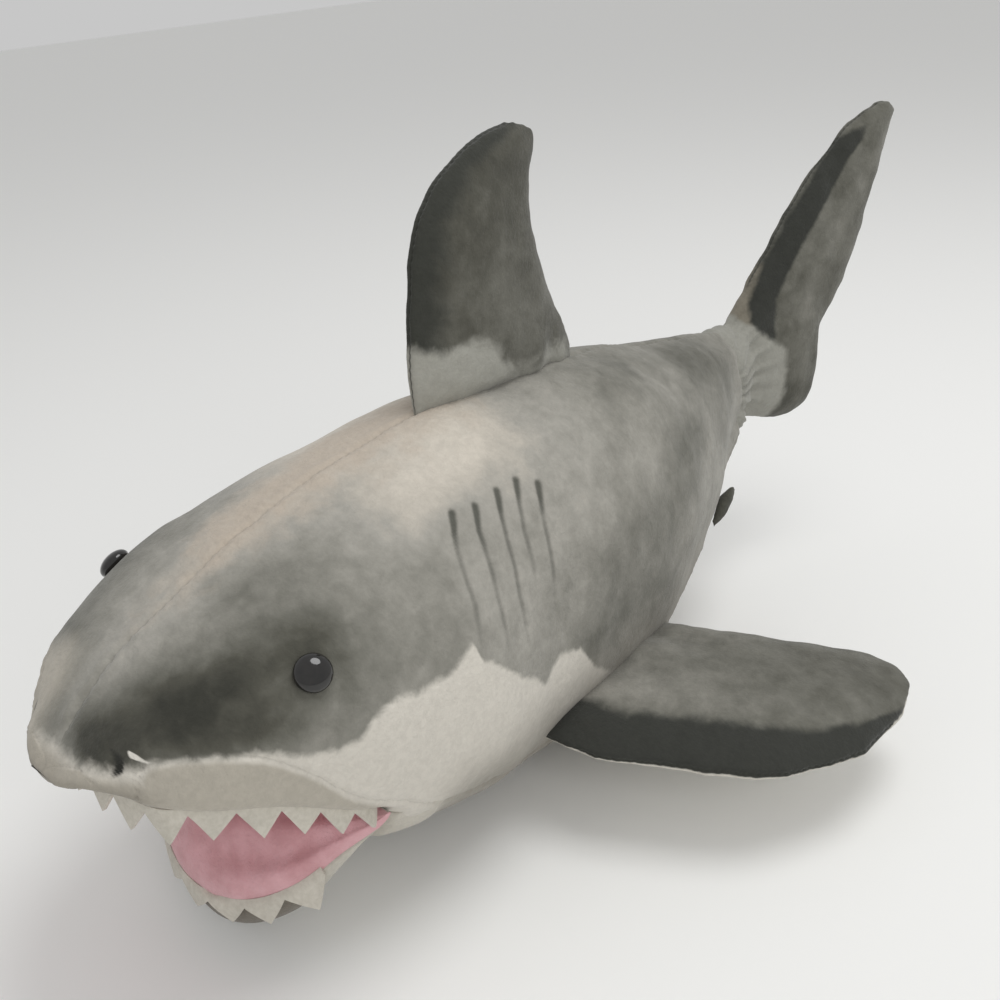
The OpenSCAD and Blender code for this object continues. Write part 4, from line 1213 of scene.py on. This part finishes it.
def over_lip(length):
    """Points round the jaw a length down from the inner edge of the lip, lying on its cloth."""
    slope = np.array([(1.6, 1.6), (-1.6, 0.0), (-3.6, -3.0)])
    down = np.clip((length - 6.8 * MM) / MM, 0, None)
    inset = np.interp(length / MM, [0, 3.4, 7], slope[:, 0]) - 0.62 * down
    lift = np.interp(length / MM, [0, 3.4, 7], slope[:, 1]) - 0.78 * down
    points = on_lip(spread, inset * MM, lift * MM)
    for i, p in enumerate(points):
        near, normal, _, far = chin_surface.find_nearest(Vector(p), 0.03)
        side = normal if normal.dot(Vector(near) - Vector(fold)) > 0 else -normal
        if near and (Vector(p) - near).dot(side) < 1.3 * MM:
            points[i] = near + side * 1.3 * MM
    return points


sheet = np.array([over_lip(length) for length in np.linspace(0, 17 * MM, 18)])
sheet = eased(eased(sheet, 1.0, 0), 2.0, 1)
lengths = np.array([10.5, 9, 8, 7.5, 8, 9, 11.5]) * MM
tooth_row("lower_teeth_felt", sheet, lengths, "jaw", "lower_teeth")

# %% [markdown]
# ## Safety eyes
#
# The eyes are moulded in black ABS or acetal and tumbled to a gloss: a low dome over a short rim, on
# a ribbed shank that a washer locks inside the head. The dome is turned as a lathe would, with a
# faint clear depth to it. Its place and its direction come from the frame's eye and washer.

# %% Eyes
def eye_material():
    """Gloss black plastic, very slightly dulled by handling."""
    material, tree, shader = cloth_material(
        "moulded ABS, gloss black", Roughness=0.09, IOR=1.53, Coat_Weight=0.35, Coat_Roughness=0.05)
    place = add(tree, "TexCoord").outputs["Object"]
    handled = clouds(tree, place, 3 * MM, 2.0, 4.0)
    colour = blend_over(tree, linear("#121110"), linear("#1d1b19"), share(tree, handled, 0.3, 0.7))
    tree.links.new(colour, shader.inputs["Base Color"])
    rough = share(tree, handled, 0.35, 0.75, 0.07, 0.13)
    tree.links.new(rough, shader.inputs["Roughness"])
    return material


gloss_black = eye_material()
for word in ("left", "right"):
    washer = frame["nodes"][f"eye_washer_{word}"]
    bead = np.array([v.co for v in frame["nodes"][f"eye_{word}"].data.vertices], float)
    centre = np.array([v.co for v in washer.data.vertices], float).mean(axis=0)
    look = bead.mean(axis=0) - centre
    look /= np.linalg.norm(look)
    rise = (bead - centre) @ look
    crown_point = rise.max()
    across = np.linalg.norm(bead - centre - rise[:, None] * look, axis=1)
    radius = across.max()
    rim_at = rise[across > radius * 0.999].max()
    look_turn = Vector(look).to_track_quat("Z", "Y")
    profile = [(0.0, rim_at - 3.2 * MM), (radius * 0.86, rim_at - 3.2 * MM),
               (radius * 0.97, rim_at - 0.9 * MM), (radius, rim_at - 0.3 * MM)]
    profile += [(radius * math.cos(a), rim_at + (crown_point - rim_at) * math.sin(a))
                for a in np.radians(np.linspace(0, 88, 26))]
    profile.append((0.0, crown_point))
    around = 72
    rows = np.array([[(r * math.cos(t), r * math.sin(t), h)
                      for t in np.linspace(0, 2 * math.pi, around, endpoint=False)]
                     for r, h in profile])
    placed = np.array([look_turn @ Vector(p) for p in rows.reshape(-1, 3)]) + centre
    eye = sewn(f"eye_dome_{word}", placed, grid_faces(len(profile), around, True))
    with editing(eye) as mesh:
        bmesh.ops.remove_doubles(mesh, verts=mesh.verts, dist=0.01 * MM)
        bmesh.ops.recalc_face_normals(mesh, faces=mesh.faces)
    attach(eye, "body")
    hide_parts(f"eye_{word}")
    eye.data.materials.append(gloss_black)
    print("eye", word, "radius, mm:", round(radius / MM, 2), "looks along", look.round(2).tolist())

washer_plastic, washer_tree, washer_shader = cloth_material("moulded polyethylene, natural white",
                                                            Roughness=0.45)
washer_tint = clouds(washer_tree, add(washer_tree, "TexCoord").outputs["Object"], 4 * MM, 1.0)
washer_colour = blend_over(washer_tree, linear("#dedbd2"), linear("#ebe9e1"), washer_tint)
washer_tree.links.new(washer_colour, washer_shader.inputs["Base Color"])
for word in ("left", "right"):
    slots = frame["nodes"][f"eye_washer_{word}"].data.materials
    slots.clear()
    slots.append(washer_plastic)

# %% [markdown]
# ## The room
#
# A plain pale floor and a pale world with two large soft lamps, as in a small product studio: one
# overhead and a little behind, one from the side of the camera.

# %% Floor and lights
floor_plane = sewn("studio_floor", np.array([(-6, -6, 0), (6, -6, 0), (6, 6, 0), (-6, 6, 0)], float),
                   [(0, 1, 2, 3)])
paper, paper_tree, paper_shader = cloth_material("matt backdrop paper, white", Roughness=0.9)
paper_shader.inputs["Base Color"].default_value = linear("#f4f4f2")
floor_plane.data.materials.append(paper)

world = bpy.data.worlds.new("studio")
bpy.context.scene.world = world
world.use_nodes = True
world.node_tree.nodes["Background"].inputs["Color"].default_value = linear("#f6f6f6")
world.node_tree.nodes["Background"].inputs["Strength"].default_value = 0.62
bpy.context.scene.view_settings.view_transform = "Standard"


def softbox(name, place, aim, size, power):
    """A round soft lamp, in metres and watts."""
    lamp = bpy.data.lights.new(name, "AREA")
    lamp.shape = "DISK"
    lamp.size = size
    lamp.energy = power
    holder = new_object(name, lamp)
    holder.location = place
    holder.rotation_mode = "QUATERNION"
    holder.rotation_quaternion = (Vector(aim) - Vector(place)).to_track_quat("-Z", "Y")
    return holder


softbox("overhead_softbox", (0.35, 0.35, 1.6), (0, 0, 0.1), 0.9, 9)
softbox("side_softbox", (1.3, -0.7, 1.0), (0, -0.1, 0.12), 0.8, 5).visible_glossy = False

# %% [markdown]
# ## The camera
#
# It is held close and a little above the head, turned to the shark's left, so the snout looms and
# the tail falls away.

# %% Camera
AZIMUTH, ELEVATION, ROLL = (math.radians(a) for a in (44.29, 27.0, -4.85))
lens = bpy.data.cameras.new("camera")
lens.sensor_width = 36
lens.lens = 40.49
lens.clip_start = 0.02
camera = new_object("camera", lens)
bpy.context.scene.camera = camera
camera.location = (0.3626, -0.4161, 0.3999)
back = Vector((math.sin(AZIMUTH) * math.cos(ELEVATION), -math.cos(AZIMUTH) * math.cos(ELEVATION),
               math.sin(ELEVATION)))
right = Vector((math.cos(AZIMUTH), math.sin(AZIMUTH), 0))
up_dir = back.cross(right)
rolled_right = right * math.cos(ROLL) + up_dir * math.sin(ROLL)
rolled_up = up_dir * math.cos(ROLL) - right * math.sin(ROLL)
camera.rotation_mode = "QUATERNION"
camera.rotation_quaternion = Matrix((rolled_right, rolled_up, back)).transposed().to_quaternion()
